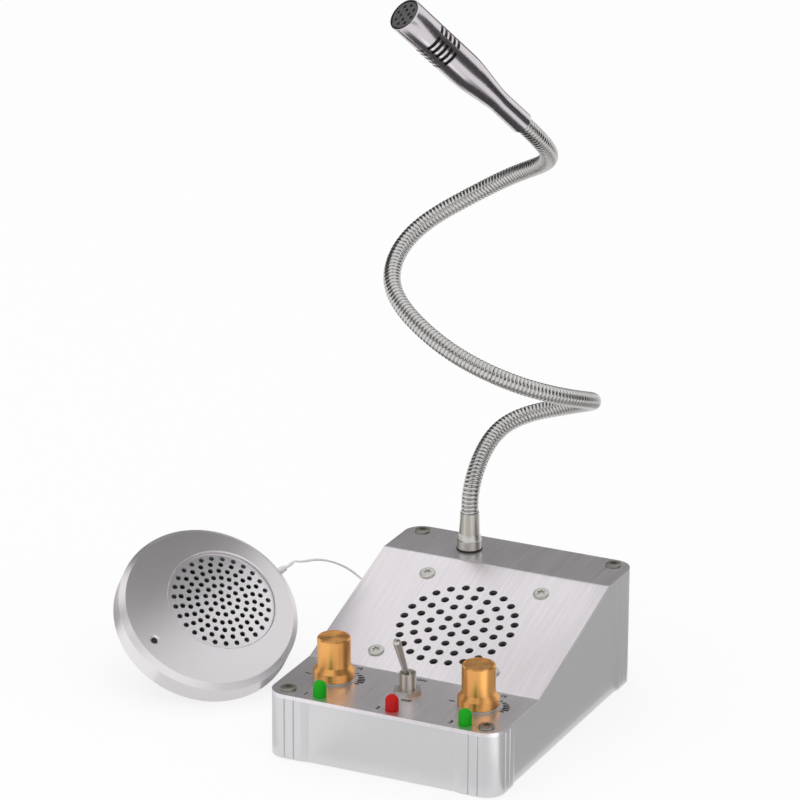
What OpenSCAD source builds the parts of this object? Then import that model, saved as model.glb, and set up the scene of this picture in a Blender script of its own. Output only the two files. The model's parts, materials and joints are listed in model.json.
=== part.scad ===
// Teller window intercom: a desk unit with a gooseneck microphone, and an outer speaker on a thin cord.
// Millimetres. +Z is up, -Y is the teller's side, and the origin is on the desk under the desk unit's middle.

/* [Housing] */
// Width of the desk unit
body_w = 120; // [112:1:140]
// Height of the front flat's upper face over the housing's lower edge
front_h = 32.5; // [30:0.5:40]
// Height of the rear flat's upper face over the housing's lower edge
rear_h = 59.5; // [54:0.5:70]
// Depth of the front flat
front_flat = 47.5; // [44:0.5:52]
// Depth of the rear flat
rear_flat = 33.5; // [28:0.5:40]
// Length of the slope in front of and behind the speaker's flange
slope_margin = 8.2; // [7:0.1:12]
// Corner radius of the housing and the top plate
corner_r = 9.5; // [7:0.5:12]
// Thickness of the extruded wall
wall_t = 1.8; // [1.4:0.1:2.2]
// Depth of the flat walls behind the corner posts
wall_recess = 1; // [0.6:0.1:1.4]
// Width of a corner post
post_w = 18.5; // [17:0.5:22]
// Width of the ramp from a corner post down to the flat wall
ramp_w = 4; // [2:0.5:6]
// Distance of a corner post's first groove from the corner
groove_at = 10; // [9.5:0.1:11]
// Distance from the first groove to the second
groove_pitch = 4.8; // [3:0.1:6]
// Width of a groove
groove_w = 0.9; // [0.5:0.1:1.4]
// Radius of a screw boss inside a corner
boss_r = 6.2; // [6:0.1:7]

/* [Plates] */
// Thickness of the top plate
plate_t = 2; // [1.5:0.1:3]
// Inner radius of the top plate's two bends
bend_r = 5; // [3:0.5:8]
// Thickness of the bottom plate
bottom_t = 1.5; // [1:0.1:2]
// Distance of the bottom plate's lower face from the housing's lower edge
bottom_inset = 1; // [0.8:0.1:1.5]
// Height of the housing's lower edge over the desk
desk_gap = 0.5; // [0.3:0.1:1]
// Distance of the anti-slip pad's edge from the housing's sides
pad_in = 17; // [14:0.5:25]
// Distance of a corner screw from the housing's side
screw_in_x = 8.7; // [8.3:0.1:9.5]
// Distance of a corner screw from the housing's front or back
screw_in_y = 7.3; // [7:0.1:8]
// Radius of a screw's shank
shank_r = 1.95; // [1.5:0.05:2]
// Radius of a button head
head_r = 3.9; // [3.5:0.1:4]
// Height of a button head
head_h = 1.7; // [1.2:0.1:2.2]
// Width of a button head's hexagonal drive across the flats
drive_af = 2.5; // [2:0.1:3]

/* [Inner speaker] */
// Distance of the speaker's middle below the middle of the slope
spk_drop = 0.8; // [0:0.1:4]
// Distance of the grille's middle below the speaker's middle
grille_drop = 2.3; // [0:0.1:2.5]
// Width of the speaker's square flange
spk_w = 70; // [68:1:72]
// Distance between two of its screws
spk_pitch = 60.5; // [59:0.5:62]
// Radius of the speaker's cone opening
cone_r = 29; // [27:0.5:30]
// Depth of the speaker's basket
basket_h = 12; // [9:0.5:13]
// Radius of the speaker's magnet
magnet_r = 17; // [14:0.5:18]
// Height of the speaker's magnet with its back plate
magnet_h = 8; // [6:0.5:9]
// Radius of a grille hole
hole_r = 2; // [1.4:0.05:2.2]
// Distance between two rings of grille holes
ring_pitch = 7; // [6:0.1:7.2]
// Thickness of the black dust cloth under the grille
cloth_t = 0.4; // [0.3:0.1:0.8]
// Distance of the grille's middle hole from the last ring, in rings
ring_count = 4; // [2:1:4]

/* [Controls] */
// Distance of a volume knob's axis from the housing's side
knob_in = 22.4; // [21:0.2:25]
// Distance of the knobs and the switch from the front edge
control_in = 28.2; // [27:0.2:30]
// Distance of the switch from the middle
switch_x = 1; // [-3:0.5:3]
// Radius of a knob's upper part
knob_r = 8; // [7:0.1:9]
// Radius of a knob's skirt
skirt_r = 10; // [9.5:0.1:11]
// Height of a knob's skirt
skirt_h = 4.2; // [3:0.1:5]
// Height of the cone between skirt and upper part
shoulder_h = 2.4; // [1.5:0.1:3.5]
// Height of a knob's top over the plate
knob_top = 21.5; // [18:0.5:24]
// Gap under a knob
knob_gap = 0.9; // [0.5:0.1:1.5]
// Radius of a volume control's shaft
shaft_r = 3; // [2.5:0.1:3.2]
// Running clearance round a shaft
run_gap = 0.05; // [0.02:0.01:0.1]
// Radius of the switch's bushing
bush_r = 3.9; // [3.8:0.1:4.4]
// Height of the switch's bushing over the plate
bush_h = 10.4; // [8:0.2:12]
// Distance from the lever's pivot to its tip
lever_l = 27.5; // [20:0.5:30]
// Angle of the lever from upright
lever_lean = 28; // [10:1:28]
// Radius of a signal lamp
led_r = 3.2; // [2.5:0.1:3.4]
// Height of a signal lamp over the plate
led_h = 7.9; // [6:0.1:10]
// Distance of the middle signal lamp from the middle
led_x = 3.2; // [0:0.2:5]
// Distance of the lamps from the front edge
led_in = 6.4; // [6.3:0.1:8]

/* [Gooseneck and microphone] */
// Radius of the gooseneck
neck_r = 4.3; // [3.5:0.1:4.4]
// Length of the gooseneck from its foot to the microphone
neck_l = 422; // [405:1:440]
// Distance of the gooseneck's foot from the middle, to the left
neck_left = 21; // [10:1:30]
// Distance of the gooseneck's foot from the back
neck_in = 18; // [16:0.5:22]
// Height of the foot's collar with its washer
collar_h = 5.6; // [4:0.2:8]
// Height of the foot's flare
flare_h = 2.8; // [2:0.1:4]
// Height of the foot's tapered sleeve
sleeve_h = 11.1; // [8:0.1:14]
// Radius of the foot's collar
collar_r = 6.1; // [5.5:0.1:7]
// Gap on each side of a bending point
bend_gap = 1.2; // [1.1:0.1:1.6]
// Length of the microphone
mic_l = 92; // [84:1:110]
// Radius of the microphone's head
mic_r = 8.4; // [7.5:0.1:9.5]
// Radius of the microphone's rear end
mic_tail_r = 5.4; // [5.2:0.1:6]
// Length of the microphone's straight head
mic_head_l = 50; // [45:1:56]
// Length of the microphone's taper
mic_taper_l = 21; // [15:1:24]
// Distance of the first sound slot from the front
slot_at = 23.4; // [20:0.1:26]
// Number of sound slots in a row
slot_rows = 5; // [3:1:6]
// Distance between two sound slots
slot_pitch = 3.2; // [2.4:0.1:3.4]
// Width of a sound slot
slot_w = 1.9; // [1:0.1:2]
// Wall of the microphone's head
mic_wall = 1.3; // [1:0.1:1.6]

/* [Outer speaker] */
// Radius of the outer speaker
puck_r = 45; // [42:0.5:50]
// Thickness of the outer speaker
puck_h = 13.8; // [13:0.2:16]
// Width of the chamfer round its face
puck_chamfer = 2.8; // [1.5:0.1:3]
// Thickness of its shell
puck_wall = 2; // [1.5:0.1:2.4]
// Distance of its grille from the middle
grille_off = 8; // [7:0.5:9]
// Radius of its sunk grille
grille_r = 27; // [26:0.5:28]
// Depth of the grille behind the face
grille_sink = 1.8; // [1:0.1:2]
// Rise of the domed grille's middle
dome_h = 1.5; // [0.5:0.1:1.7]
// Radius of a hole in the outer grille
puck_hole_r = 1.3; // [1:0.05:1.4]
// Distance of the outer microphone's hole from the middle
pin_off = 35.3; // [33:0.5:36]
// Angle between the outer speaker's face and the desk
puck_tilt = 39.5; // [20:0.5:60]
// Direction that its face looks in, from the right side
puck_turn = -39.5; // [-60:0.5:-20]
// Turn of the outer speaker about its own axis
puck_spin = 20.5; // [0:0.5:40]
// Distance of the outer speaker's back from the middle, to the left
puck_left = 131; // [125:1:160]
// Distance of the outer speaker's back from the middle, to the front
puck_front = 8.5; // [-10:0.5:30]

/* [Sockets and cord] */
// Height of the sockets over the desk
socket_z = 16; // [14:0.5:20]
// Radius of the power socket's hole
dc_bore_r = 2.8; // [2.5:0.1:3.2]
// Radius of the cord plug's pin
plug_pin_r = 1.75; // [1.5:0.05:1.8]
// Length of the cord plug's pin
plug_pin_l = 13; // [11:0.5:14]
// Diameter of the cord
cord_d = 1.8; // [1.4:0.1:2]
// Radius of the cord coil's middle turn
coil_r = 10.8; // [10:0.1:11]
// Width of the coil's winding
coil_w = 9; // [7.2:0.1:9]
// Height of the coil's winding
coil_h = 7.2; // [5.4:0.1:9]

/* [Hidden] */
$fn = 48;
eps = 0.01;           // overreach of a cut past the face it opens
fit_gap = 0.1;        // gap between pieces that are screwed or pushed together
soft_gap = 0.3;       // gap where one piece only lies beside another

// Heights over the desk, and the slope between the two flats
edge_z = desk_gap;
front_z = edge_z + front_h;
rear_z = edge_z + rear_h;
floor_z = edge_z + bottom_inset + bottom_t;
slope_rise = rear_h - front_h;
slope_l = spk_w + 2*slope_margin;
slope_run = sqrt(slope_l*slope_l - slope_rise*slope_rise);
body_d = front_flat + slope_run + rear_flat;
slope_y = -body_d/2 + front_flat;
slope_a = atan2(slope_rise, slope_run);
bend_shift = plate_t*tan(slope_a/2);
cavity_in = wall_t + wall_recess;
cavity_w = body_w - 2*cavity_in;
cavity_d = body_d - 2*cavity_in;
screw_x = body_w/2 - screw_in_x;
screw_y = body_d/2 - screw_in_y;
tap_r = shank_r + run_gap;
csk_h = bottom_t - 0.1;
pad_w = body_w - 2*pad_in;
pad_d = body_d - 2*pad_in;

// Inner speaker, in heights under the top plate's upper face
spk_s = slope_l/2 - spk_drop;
flange_z = -plate_t - cloth_t;
flange_t = 1.2;
basket_z = flange_z - flange_t;
sheet_t = 0.8;
throat_r = magnet_r - 3;
nut_t = 3.2;
nut_af = 7;

// Amplifier board
board_w = body_w - 36;
board_d = slope_run - 2;
board_y = slope_y + slope_run/2 + 11;
board_t = 1.6;
standoff_h = 6;
standoff_r = 3;
board_z = floor_z + standoff_h;
board_hole_in = 4;
board_screw_r = 1.45;

// Controls
knob_x = body_w/2 - knob_in;
led_pitch = knob_x;
control_y = -body_d/2 + control_in;
lamp_y = -body_d/2 + led_in;
pot_r = 8.2;
pot_h = 7;
pot_face_t = 0.8;
pot_bush_r = 3.6;
pot_bush_h = 5;
pot_nut_af = 10;
pot_nut_t = 2;
shaft_foot = -plate_t - pot_face_t - pot_h + 1;
shaft_end = 15;
knob_hollow_r = 7.2;
knob_hollow_h = 5.4;
switch_nut_af = 12.2;
switch_nut_t = 2;
pivot_drop = 3;
pivot_z = bush_h - pivot_drop;
pivot_r = 2.6;
lever_r1 = 1.25;
lever_r2 = 1.95;

// Gooseneck: its foot, its route from the foot's top as parts of its length, and the points where it bends
foot_x = -neck_left;
foot_y = body_d/2 - neck_in;
foot_h = collar_h + flare_h + sleeve_h;
foot_ledge = 2;
foot_thread_r = 5;
foot_thread_l = 9;
neck_bore_r = neck_r + run_gap;
stub_r = neck_r - 0.2;
neck_nut_af = 14;
neck_nut_t = 4;
ball_r = neck_r - 0.3;
socket_r = ball_r + soft_gap;
neck_shape = [[0, 0, 0], [0, 0, 0.0355], [-0.0024, 0.0711, 0.0877], [0.0592, 0.1114, 0.1019],
    [0.128, 0.0877, 0.128], [0.128, 0.019, 0.1517], [0.0853, -0.0355, 0.1754],
    [0.0166, -0.0569, 0.2038], [-0.0498, -0.045, 0.2346], [-0.1066, -0.0142, 0.2701],
    [-0.1019, 0.045, 0.3152], [-0.0498, 0.0877, 0.3483], [0.0142, 0.0948, 0.3886],
    [0.0782, 0.0569, 0.4194], [0.0877, -0.0071, 0.4621], [0.0735, -0.0308, 0.4882]];
neck_route = [for (p = neck_shape) p*neck_l];
route_end = len(neck_route) - 1;
bend_at = [0.8, 4.2, 8.8, 14.3];
ring_step = 0.125;
neck_sides = 16;

// Microphone
mic_bore_r = mic_r - mic_wall;
mic_tail_l = mic_l - mic_head_l - mic_taper_l;
mic_end_t = 1.2;
capsule_r = 4.85;
capsule_h = 6.5;
slot_groups = 5;
slot_span = 56;

// Outer speaker
puck_face_z = puck_h - puck_wall;
grille_z = puck_h - grille_sink;
grille_t = 1;
ledge_w = 2;
puck_mid = [-puck_left, -puck_front, puck_r*sin(puck_tilt)];
puck_rings = [[0, 1], [4.15, 6], [8.25, 13], [12.6, 20], [16.6, 24], [20.3, 24], [23.8, 27]];
dome_r = (grille_r*grille_r + dome_h*dome_h)/(2*dome_h);
puck_screw_at = [45, 135, 225, 315];
puck_screw_off = puck_r - 6.4;
tape_t = 0.8;
tape_w = 6;
tape_r = puck_r - 11;
puck_back_t = 1.2;
gland_l = 9;
gland_z = 5.5;

// Sockets and cord
socket_x = body_w/2 - post_w - ramp_w - 8;
socket_out = 3;
back_y = body_d/2 - wall_recess;
inner_back_y = body_d/2 - cavity_in;
plug_l = 24;
plug_tail_l = 10;
plug_y = back_y + socket_out;
cord_r = cord_d/2;
plug_end_y = plug_y + fit_gap + plug_l + plug_tail_l;
coil_turn_r = coil_r + coil_w/2 - cord_r;
coil_at = [coil_turn_r - socket_x, plug_end_y + coil_turn_r];
coil_clear = coil_r + coil_w/2 + cord_r + soft_gap;
gland_end = [0, puck_r + gland_l - 1.85, gland_z];
cord_sides = 8;

// ---------- shared shapes ----------

function unit(v) = v/norm(v);
function sign_of(x) = x < 0 ? -1 : 1;

// Points of a bend of radius r at corner p, from heading a0 to heading a1
function bend(p, a0, a1, r, steps = 6) =
    let (k = sign_of(a1 - a0),
         start = p - r*tan(abs(a1 - a0)/2)*[cos(a0), sin(a0)],
         centre = start + k*r*[-sin(a0), cos(a0)])
    [for (i = [0:steps]) let (a = a0 + (a1 - a0)*i/steps) centre + k*r*[sin(a), -cos(a)]];

// Side line of the top plate from front to back: its upper face at drop 0, its lower face at drop plate_t
function plate_line(drop) =
    let (shift = drop*tan(slope_a/2),
         low = [slope_y + shift, front_z - drop],
         high = [slope_y + slope_run + shift, rear_z - drop])
    concat([[-body_d/2, front_z - drop]],
           bend(low, 0, slope_a, bend_r + drop),
           bend(high, slope_a, 0, bend_r + plate_t - drop),
           [[body_d/2, rear_z - drop]]);

// One point of the smooth curve through a list of control points, at u from 0 to the last point's number
function on_route(pts, u) =
    let (n = len(pts) - 1,
         i = min(floor(u), n - 1),
         t = u - i,
         p0 = i > 0 ? pts[i - 1] : 2*pts[0] - pts[1],
         p3 = i < n - 1 ? pts[i + 2] : 2*pts[n] - pts[n - 1],
         s = 1 - t)
    (s*s*s*p0 + (3*t*t*t - 6*t*t + 4)*pts[i] + (3*s*s*s - 6*s*s + 4)*pts[i + 1] + t*t*t*p3)/6;
function heading(pts, u, h = 0.02) =
    unit(on_route(pts, min(u + h, len(pts) - 1)) - on_route(pts, max(u - h, 0)));

// Side vectors of the rings, each turned as little as possible from the one before
function sides_of(heads, i = 0, side = [0.8, 0.6, 0]) =
    i == len(heads) ? [] :
    let (s = unit(side - (side*heads[i])*heads[i])) concat([s], sides_of(heads, i + 1, s));

// Tube of radius r swept along a list of points, with the end rings square to heads
module tube(points, heads, r, sides) {
    side = sides_of(heads);
    n = len(points);
    rings = [for (i = [0:n - 1], j = [0:sides - 1])
        let (a = 360*j/sides, across = cross(heads[i], side[i]))
        points[i] + r*(cos(a)*side[i] + sin(a)*across)];
    walls = [for (i = [0:n - 2], j = [0:sides - 1])
        let (k = (j + 1) % sides)
        [i*sides + j, (i + 1)*sides + j, (i + 1)*sides + k, i*sides + k]];
    caps = [[for (j = [0:sides - 1]) j], [for (j = [sides - 1:-1:0]) (n - 1)*sides + j]];
    polyhedron(concat(rings, []), concat(walls, caps), convexity = 6);
}

module rounded_rect(w, d, r) {
    square([w - 2*r, d], center = true);
    square([w, d - 2*r], center = true);
    for (x = [-1, 1], y = [-1, 1])
        translate([x*(w/2 - r), y*(d/2 - r)]) circle(r);
}

module hex(af, h) {
    cylinder(r = af/2/cos(30), h = h, $fn = 6);
}

// Side profile in Y and Z, extruded over the width w
module across_width(w) {
    translate([-w/2, 0, 0]) rotate([90, 0, 90]) linear_extrude(w) children();
}

module corners() {
    for (x = [-1, 1], y = [-1, 1]) translate([x*screw_x, y*screw_y, 0]) children();
}

// Place on the slope, s up from the front bend, with +Z out of the plate
module on_slope(s = spk_s) {
    translate([0, slope_y + s*cos(slope_a), front_z + s*sin(slope_a)]) rotate([slope_a, 0, 0]) children();
}

module on_front(x, y) {
    translate([x, y, front_z]) children();
}

module on_rear() {
    translate([foot_x, foot_y, rear_z]) children();
}

module speaker_corners() {
    for (x = [-1, 1], y = [-1, 1]) translate([x*spk_pitch/2, y*spk_pitch/2, 0]) children();
}

// Button-head screw with its head on z = 0
module button_screw(length) {
    difference() {
        union() {
            cylinder(r = head_r, h = head_h/2);
            translate([0, 0, head_h/2]) cylinder(r1 = head_r, r2 = head_r*0.72, h = head_h/2);
            translate([0, 0, -length]) cylinder(r = shank_r, h = length + eps);
        }
        translate([0, 0, head_h - 1.1]) hex(drive_af, 2);
    }
}

module grille_holes(depth) {
    for (ring = [0:ring_count], i = [0:max(6*ring, 1) - 1])
        rotate([0, 0, 360*i/max(6*ring, 1) + 30*(ring % 2)/max(ring, 1)])
            translate([ring*ring_pitch, 0, -depth]) cylinder(r = hole_r, h = depth + 1);
}

// ---------- housing and plates ----------

// Cut that lays a wall of length l back between its two corner posts
module wall_cut(l) {
    top = l/2 - post_w;
    foot = top - ramp_w;
    polygon([[-top, 1], [top, 1], [top, 0], [foot, -wall_recess], [-foot, -wall_recess], [-top, 0]]);
    for (side = [-1, 1], at = [groove_at, groove_at + groove_pitch])
        translate([side*(l/2 - at), 0])
            polygon([[-groove_w/2, eps], [groove_w/2, eps], [0, -groove_w*0.6]]);
}

module housing_outline() {
    difference() {
        rounded_rect(body_w, body_d, corner_r);
        for (a = [0, 180]) {
            rotate(a) translate([0, body_d/2]) wall_cut(body_w);
            rotate(a + 90) translate([0, body_w/2]) wall_cut(body_d);
        }
    }
}

module cavity_outline(gap = 0) {
    rounded_rect(cavity_w - 2*gap, cavity_d - 2*gap, corner_r - cavity_in/2);
}

// Space under the top plate
module under_plate() {
    across_width(body_w + 2)
        polygon(concat([[body_d/2, edge_z - 1], [-body_d/2, edge_z - 1]], plate_line(plate_t)));
}

module socket_places() {
    for (x = [-1, 1]) translate([x*socket_x, back_y, socket_z]) rotate([-90, 0, 0]) children();
}

module housing() {
    color([0.80, 0.80, 0.81]) difference() {
        intersection() {
            union() {
                translate([0, 0, edge_z]) linear_extrude(rear_h) difference() {
                    housing_outline();
                    cavity_outline();
                }
                intersection() {
                    translate([0, 0, floor_z]) linear_extrude(rear_h) cavity_outline(-eps);
                    corners() cylinder(r = boss_r, h = rear_z);
                }
            }
            under_plate();
        }
        corners() cylinder(r = tap_r, h = rear_z);
        socket_places() translate([0, 0, -wall_t - 1]) cylinder(r = socket_thread_r + fit_gap, h = wall_t + 2);
    }
}

module top_plate() {
    color([0.78, 0.78, 0.79]) difference() {
        intersection() {
            across_width(body_w)
                polygon(concat(plate_line(0), [for (i = [len(plate_line(0)) - 1:-1:0]) plate_line(plate_t)[i]]));
            linear_extrude(rear_z + 1) rounded_rect(body_w, body_d, corner_r);
        }
        corners() cylinder(r = shank_r + fit_gap, h = rear_z + 1);
        on_slope(spk_s - grille_drop) grille_holes(plate_t + 1);
        on_slope() speaker_corners() translate([0, 0, -plate_t - 1]) cylinder(r = shank_r + fit_gap, h = plate_t + 2);
        for (x = [-1, 1]) on_front(x*knob_x, control_y)
            translate([0, 0, -plate_t - 1]) cylinder(r = pot_bush_r + fit_gap, h = plate_t + 2);
        on_front(switch_x, control_y) translate([0, 0, -plate_t - 1]) cylinder(r = bush_r + fit_gap, h = plate_t + 2);
        for (i = [-1:1]) on_front(led_x + i*led_pitch, lamp_y)
            translate([0, 0, -plate_t - 1]) cylinder(r = led_r + fit_gap, h = plate_t + 2);
        on_rear() translate([0, 0, -plate_t - 1]) cylinder(r = foot_thread_r + fit_gap, h = plate_t + 2);
    }
}

module bottom_plate() {
    color([0.35, 0.35, 0.37]) difference() {
        translate([0, 0, edge_z + bottom_inset]) linear_extrude(bottom_t) cavity_outline(soft_gap);
        corners() translate([0, 0, edge_z]) cylinder(r = shank_r + fit_gap, h = floor_z);
        corners() translate([0, 0, edge_z + bottom_inset - eps])
            cylinder(r1 = shank_r + csk_h + fit_gap, r2 = shank_r + fit_gap, h = csk_h);
        board_corners() translate([0, 0, edge_z]) cylinder(r = board_screw_r + fit_gap, h = floor_z);
    }
}

module anti_slip_pad() {
    color([0.12, 0.12, 0.12]) linear_extrude(edge_z + bottom_inset) rounded_rect(pad_w, pad_d, corner_r);
}

module top_screws() {
    color([0.45, 0.44, 0.42]) for (x = [-1, 1]) {
        translate([x*screw_x, -screw_y, front_z]) button_screw(14);
        translate([x*screw_x, screw_y, rear_z]) button_screw(14);
    }
}

module bottom_screws() {
    color([0.45, 0.44, 0.42]) corners() translate([0, 0, edge_z + bottom_inset]) {
        cylinder(r1 = shank_r + csk_h, r2 = shank_r, h = csk_h);
        cylinder(r = shank_r, h = 11);
    }
}

// ---------- inner speaker ----------

module dust_cloth() {
    color([0.05, 0.05, 0.05]) on_slope() translate([0, 0, flange_z]) cylinder(r = cone_r + 4, h = cloth_t);
}

// Half section of the basket: a stepped cup from the flange down to the magnet
module basket_section() {
    polygon([[cone_r, 0], [cone_r + 2, 0], [cone_r + 2, -3], [cone_r - 2, -6], [throat_r + 5, -basket_h],
             [throat_r - 4, -basket_h], [throat_r - 4, -basket_h + sheet_t], [throat_r + 4.5, -basket_h + sheet_t],
             [cone_r - 3, -6 + sheet_t], [cone_r, -3]]);
}

module speaker_basket() {
    color([0.25, 0.25, 0.27]) on_slope() difference() {
        union() {
            translate([0, 0, basket_z]) linear_extrude(flange_t) difference() {
                rounded_rect(spk_w, spk_w, 6);
                circle(cone_r);
            }
            translate([0, 0, basket_z]) rotate_extrude($fn = 64) basket_section();
        }
        speaker_corners() translate([0, 0, basket_z - 1]) cylinder(r = shank_r + fit_gap, h = flange_t + 2);
        for (a = [0:90:270]) rotate([0, 0, a + 45])
            translate([throat_r + 6, -7, basket_z - basket_h + 2]) cube([cone_r, 14, basket_h - 5.5]);
    }
}

module speaker_cone() {
    color([0.15, 0.15, 0.16]) on_slope() translate([0, 0, basket_z]) rotate_extrude($fn = 64)
        polygon([[0, -4], [4, -4.6], [8, -6.4], [8.6, -8.2], [cone_r - 5, -1.6], [cone_r - 3.4, -0.4],
                 [cone_r - 1.6, -0.1], [cone_r - soft_gap, -1], [cone_r - soft_gap, -1.5], [cone_r - 1.8, -0.8],
                 [cone_r - 4, -1.6], [9.4, -9.4], [8.4, -9.4], [7.6, -7.2], [4, -5.4], [0, -4.8]]);
}

module speaker_magnet() {
    color([0.3, 0.3, 0.32]) on_slope() translate([0, 0, basket_z - basket_h - magnet_h]) {
        cylinder(r = magnet_r - 1, h = 2);
        translate([0, 0, 2]) cylinder(r = magnet_r, h = magnet_h - 2);
        translate([0, 0, magnet_h - eps]) cylinder(r = throat_r - 4 - fit_gap, h = sheet_t);
    }
}

module speaker_screws() {
    color([0.72, 0.72, 0.70]) on_slope() speaker_corners() button_screw(9);
}

module speaker_nuts() {
    color([0.7, 0.7, 0.7]) on_slope() speaker_corners() translate([0, 0, basket_z - nut_t]) difference() {
        hex(nut_af, nut_t);
        translate([0, 0, -1]) cylinder(r = tap_r, h = nut_t + 2);
    }
}

// ---------- amplifier ----------

module board_corners() {
    for (x = [-1, 1], y = [-1, 1])
        translate([x*(board_w/2 - board_hole_in), board_y + y*(board_d/2 - board_hole_in), 0]) children();
}

module amplifier_board() {
    color([0.1, 0.35, 0.2]) difference() {
        translate([-board_w/2, board_y - board_d/2, board_z]) cube([board_w, board_d, board_t]);
        board_corners() translate([0, 0, board_z - 1]) cylinder(r = board_screw_r + fit_gap, h = board_t + 2);
    }
}

module board_parts() {
    color([0.1, 0.1, 0.12]) translate([0, board_y, board_z + board_t]) {
        for (x = [-0.31, -0.17, 0.31]) translate([x*board_w, board_d/2 - 18, 0]) cylinder(r = 4, h = 10);
        translate([10 - board_w/2, -16, 0]) cube([12, 16, 3.2]);
        translate([board_w/4, -board_d/3, 0]) cube([board_w/5, 8, 3.5]);
        translate([6 - board_w/2, 14, 0]) cube([10, 7, 6]);
    }
}

module heat_sink() {
    color([0.2, 0.2, 0.22]) translate([2, board_y + board_d/2 - 24, board_z + board_t]) {
        cube([14, 14, 3]);
        for (i = [0:3]) translate([i*4, 0, 3 - eps]) cube([2, 14, 8]);
    }
}

module board_standoffs() {
    color([0.75, 0.65, 0.35]) board_corners() translate([0, 0, floor_z]) difference() {
        cylinder(r = standoff_r, h = standoff_h);
        translate([0, 0, -1]) cylinder(r = board_screw_r + run_gap, h = standoff_h + 2);
    }
}

module board_screws() {
    color([0.7, 0.7, 0.7]) board_corners() translate([0, 0, board_z + board_t]) {
        cylinder(r = 2.6, h = 1.6);
        translate([0, 0, -board_t - 3]) cylinder(r = board_screw_r, h = board_t + 3 + eps);
    }
}

// ---------- volume controls ----------

module volume_pot(x) {
    color([0.6, 0.6, 0.58]) on_front(x, control_y) difference() {
        union() {
            translate([0, 0, -plate_t - pot_face_t]) cylinder(r = pot_r + 0.4, h = pot_face_t);
            translate([0, 0, -plate_t - pot_face_t - pot_h]) cylinder(r = pot_r, h = pot_h + eps);
            translate([0, 0, -plate_t]) cylinder(r = pot_bush_r, h = plate_t + pot_bush_h);
            for (i = [-1:1]) translate([i*5 - 0.8, -pot_r - 4, -plate_t - pot_face_t - 4]) cube([1.6, 6, 0.8]);
        }
        translate([0, 0, shaft_foot - run_gap]) cylinder(r = shaft_r + run_gap, h = 30);
    }
}

module inside_volume_pot() { volume_pot(-knob_x); }
module outside_volume_pot() { volume_pot(knob_x); }

module pot_nuts() {
    color([0.7, 0.7, 0.7]) for (x = [-1, 1]) on_front(x*knob_x, control_y) difference() {
        hex(pot_nut_af, pot_nut_t);
        translate([0, 0, -1]) cylinder(r = pot_bush_r + fit_gap/2, h = pot_nut_t + 2);
    }
}

module pot_shaft(x) {
    color([0.75, 0.75, 0.73]) on_front(x, control_y)
        translate([0, 0, shaft_foot]) cylinder(r = shaft_r, h = shaft_end - shaft_foot);
}

module inside_shaft() { pot_shaft(-knob_x); }
module outside_shaft() { pot_shaft(knob_x); }

// Half section of a turned knob: skirt, shoulder, upper part and sunk top disc
module knob_section() {
    polygon([[0, knob_gap], [skirt_r - 0.3, knob_gap], [skirt_r, knob_gap + 0.3],
             [skirt_r, knob_gap + skirt_h], [knob_r, knob_gap + skirt_h + shoulder_h],
             [knob_r, knob_top - 0.7], [knob_r - 0.5, knob_top], [knob_r - 0.9, knob_top],
             [knob_r - 1.1, knob_top - 0.3], [0, knob_top - 0.3]]);
}

module knob(x) {
    color([0.85, 0.52, 0.25]) on_front(x, control_y) difference() {
        rotate_extrude($fn = 96) knob_section();
        translate([0, 0, knob_gap - 1]) cylinder(r = knob_hollow_r, h = knob_hollow_h + 1);
        translate([0, 0, knob_gap - 1]) cylinder(r = shaft_r + fit_gap/5, h = shaft_end - knob_gap + 1 + fit_gap);
    }
}

module inside_knob() { knob(-knob_x); }
module outside_knob() { knob(knob_x); }

// ---------- power switch ----------

module switch_body() {
    color([0.75, 0.75, 0.74]) on_front(switch_x, control_y) difference() {
        union() {
            translate([-5.5, -8.5, -plate_t - soft_gap - 13]) cube([11, 17, 13]);
            translate([0, 0, -plate_t - soft_gap - eps]) cylinder(r = bush_r, h = bush_h + plate_t + soft_gap + eps);
            for (i = [-1:1]) translate([-0.5, i*5 - 1, -plate_t - 18]) cube([1, 2, 6]);
        }
        translate([0, 0, pivot_z - pivot_r - soft_gap]) cylinder(r = pivot_r + fit_gap, h = 20);
        translate([0, 0, pivot_z]) cylinder(r1 = pivot_r + fit_gap, r2 = bush_r - 0.5, h = pivot_drop + eps);
    }
}

module switch_nut() {
    color([0.8, 0.8, 0.79]) on_front(switch_x, control_y) difference() {
        hex(switch_nut_af, switch_nut_t);
        translate([0, 0, -1]) cylinder(r = bush_r + fit_gap/2, h = switch_nut_t + 2);
    }
}

module switch_lever() {
    color([0.82, 0.82, 0.80]) on_front(switch_x, control_y) translate([0, 0, pivot_z]) rotate([lever_lean, 0, 0]) {
        sphere(pivot_r);
        cylinder(r1 = lever_r1, r2 = lever_r2, h = lever_l - lever_r2);
        translate([0, 0, lever_l - lever_r2]) sphere(lever_r2);
    }
}

// ---------- signal lamps ----------

module lamp(i, tint) {
    color(tint) on_front(led_x + i*led_pitch, lamp_y) {
        translate([0, 0, -plate_t - 1.5]) cylinder(r = led_r, h = plate_t + 1.5 + led_h - led_r);
        translate([0, 0, led_h - led_r]) sphere(led_r);
        for (y = [-1, 1]) translate([-0.25, y*1.27 - 0.25, -plate_t - 8]) cube([0.5, 0.5, 7]);
    }
}

module inside_lamp() { lamp(-1, [0.05, 0.65, 0.1]); }
module power_lamp() { lamp(0, [0.8, 0.05, 0.05]); }
module outside_lamp() { lamp(1, [0.05, 0.65, 0.1]); }

// ---------- gooseneck ----------

module neck_washer() {
    color([0.1, 0.1, 0.1]) on_rear() difference() {
        cylinder(r = collar_r + 0.3, h = 0.6);
        translate([0, 0, -1]) cylinder(r = foot_thread_r + fit_gap, h = 3);
    }
}

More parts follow.
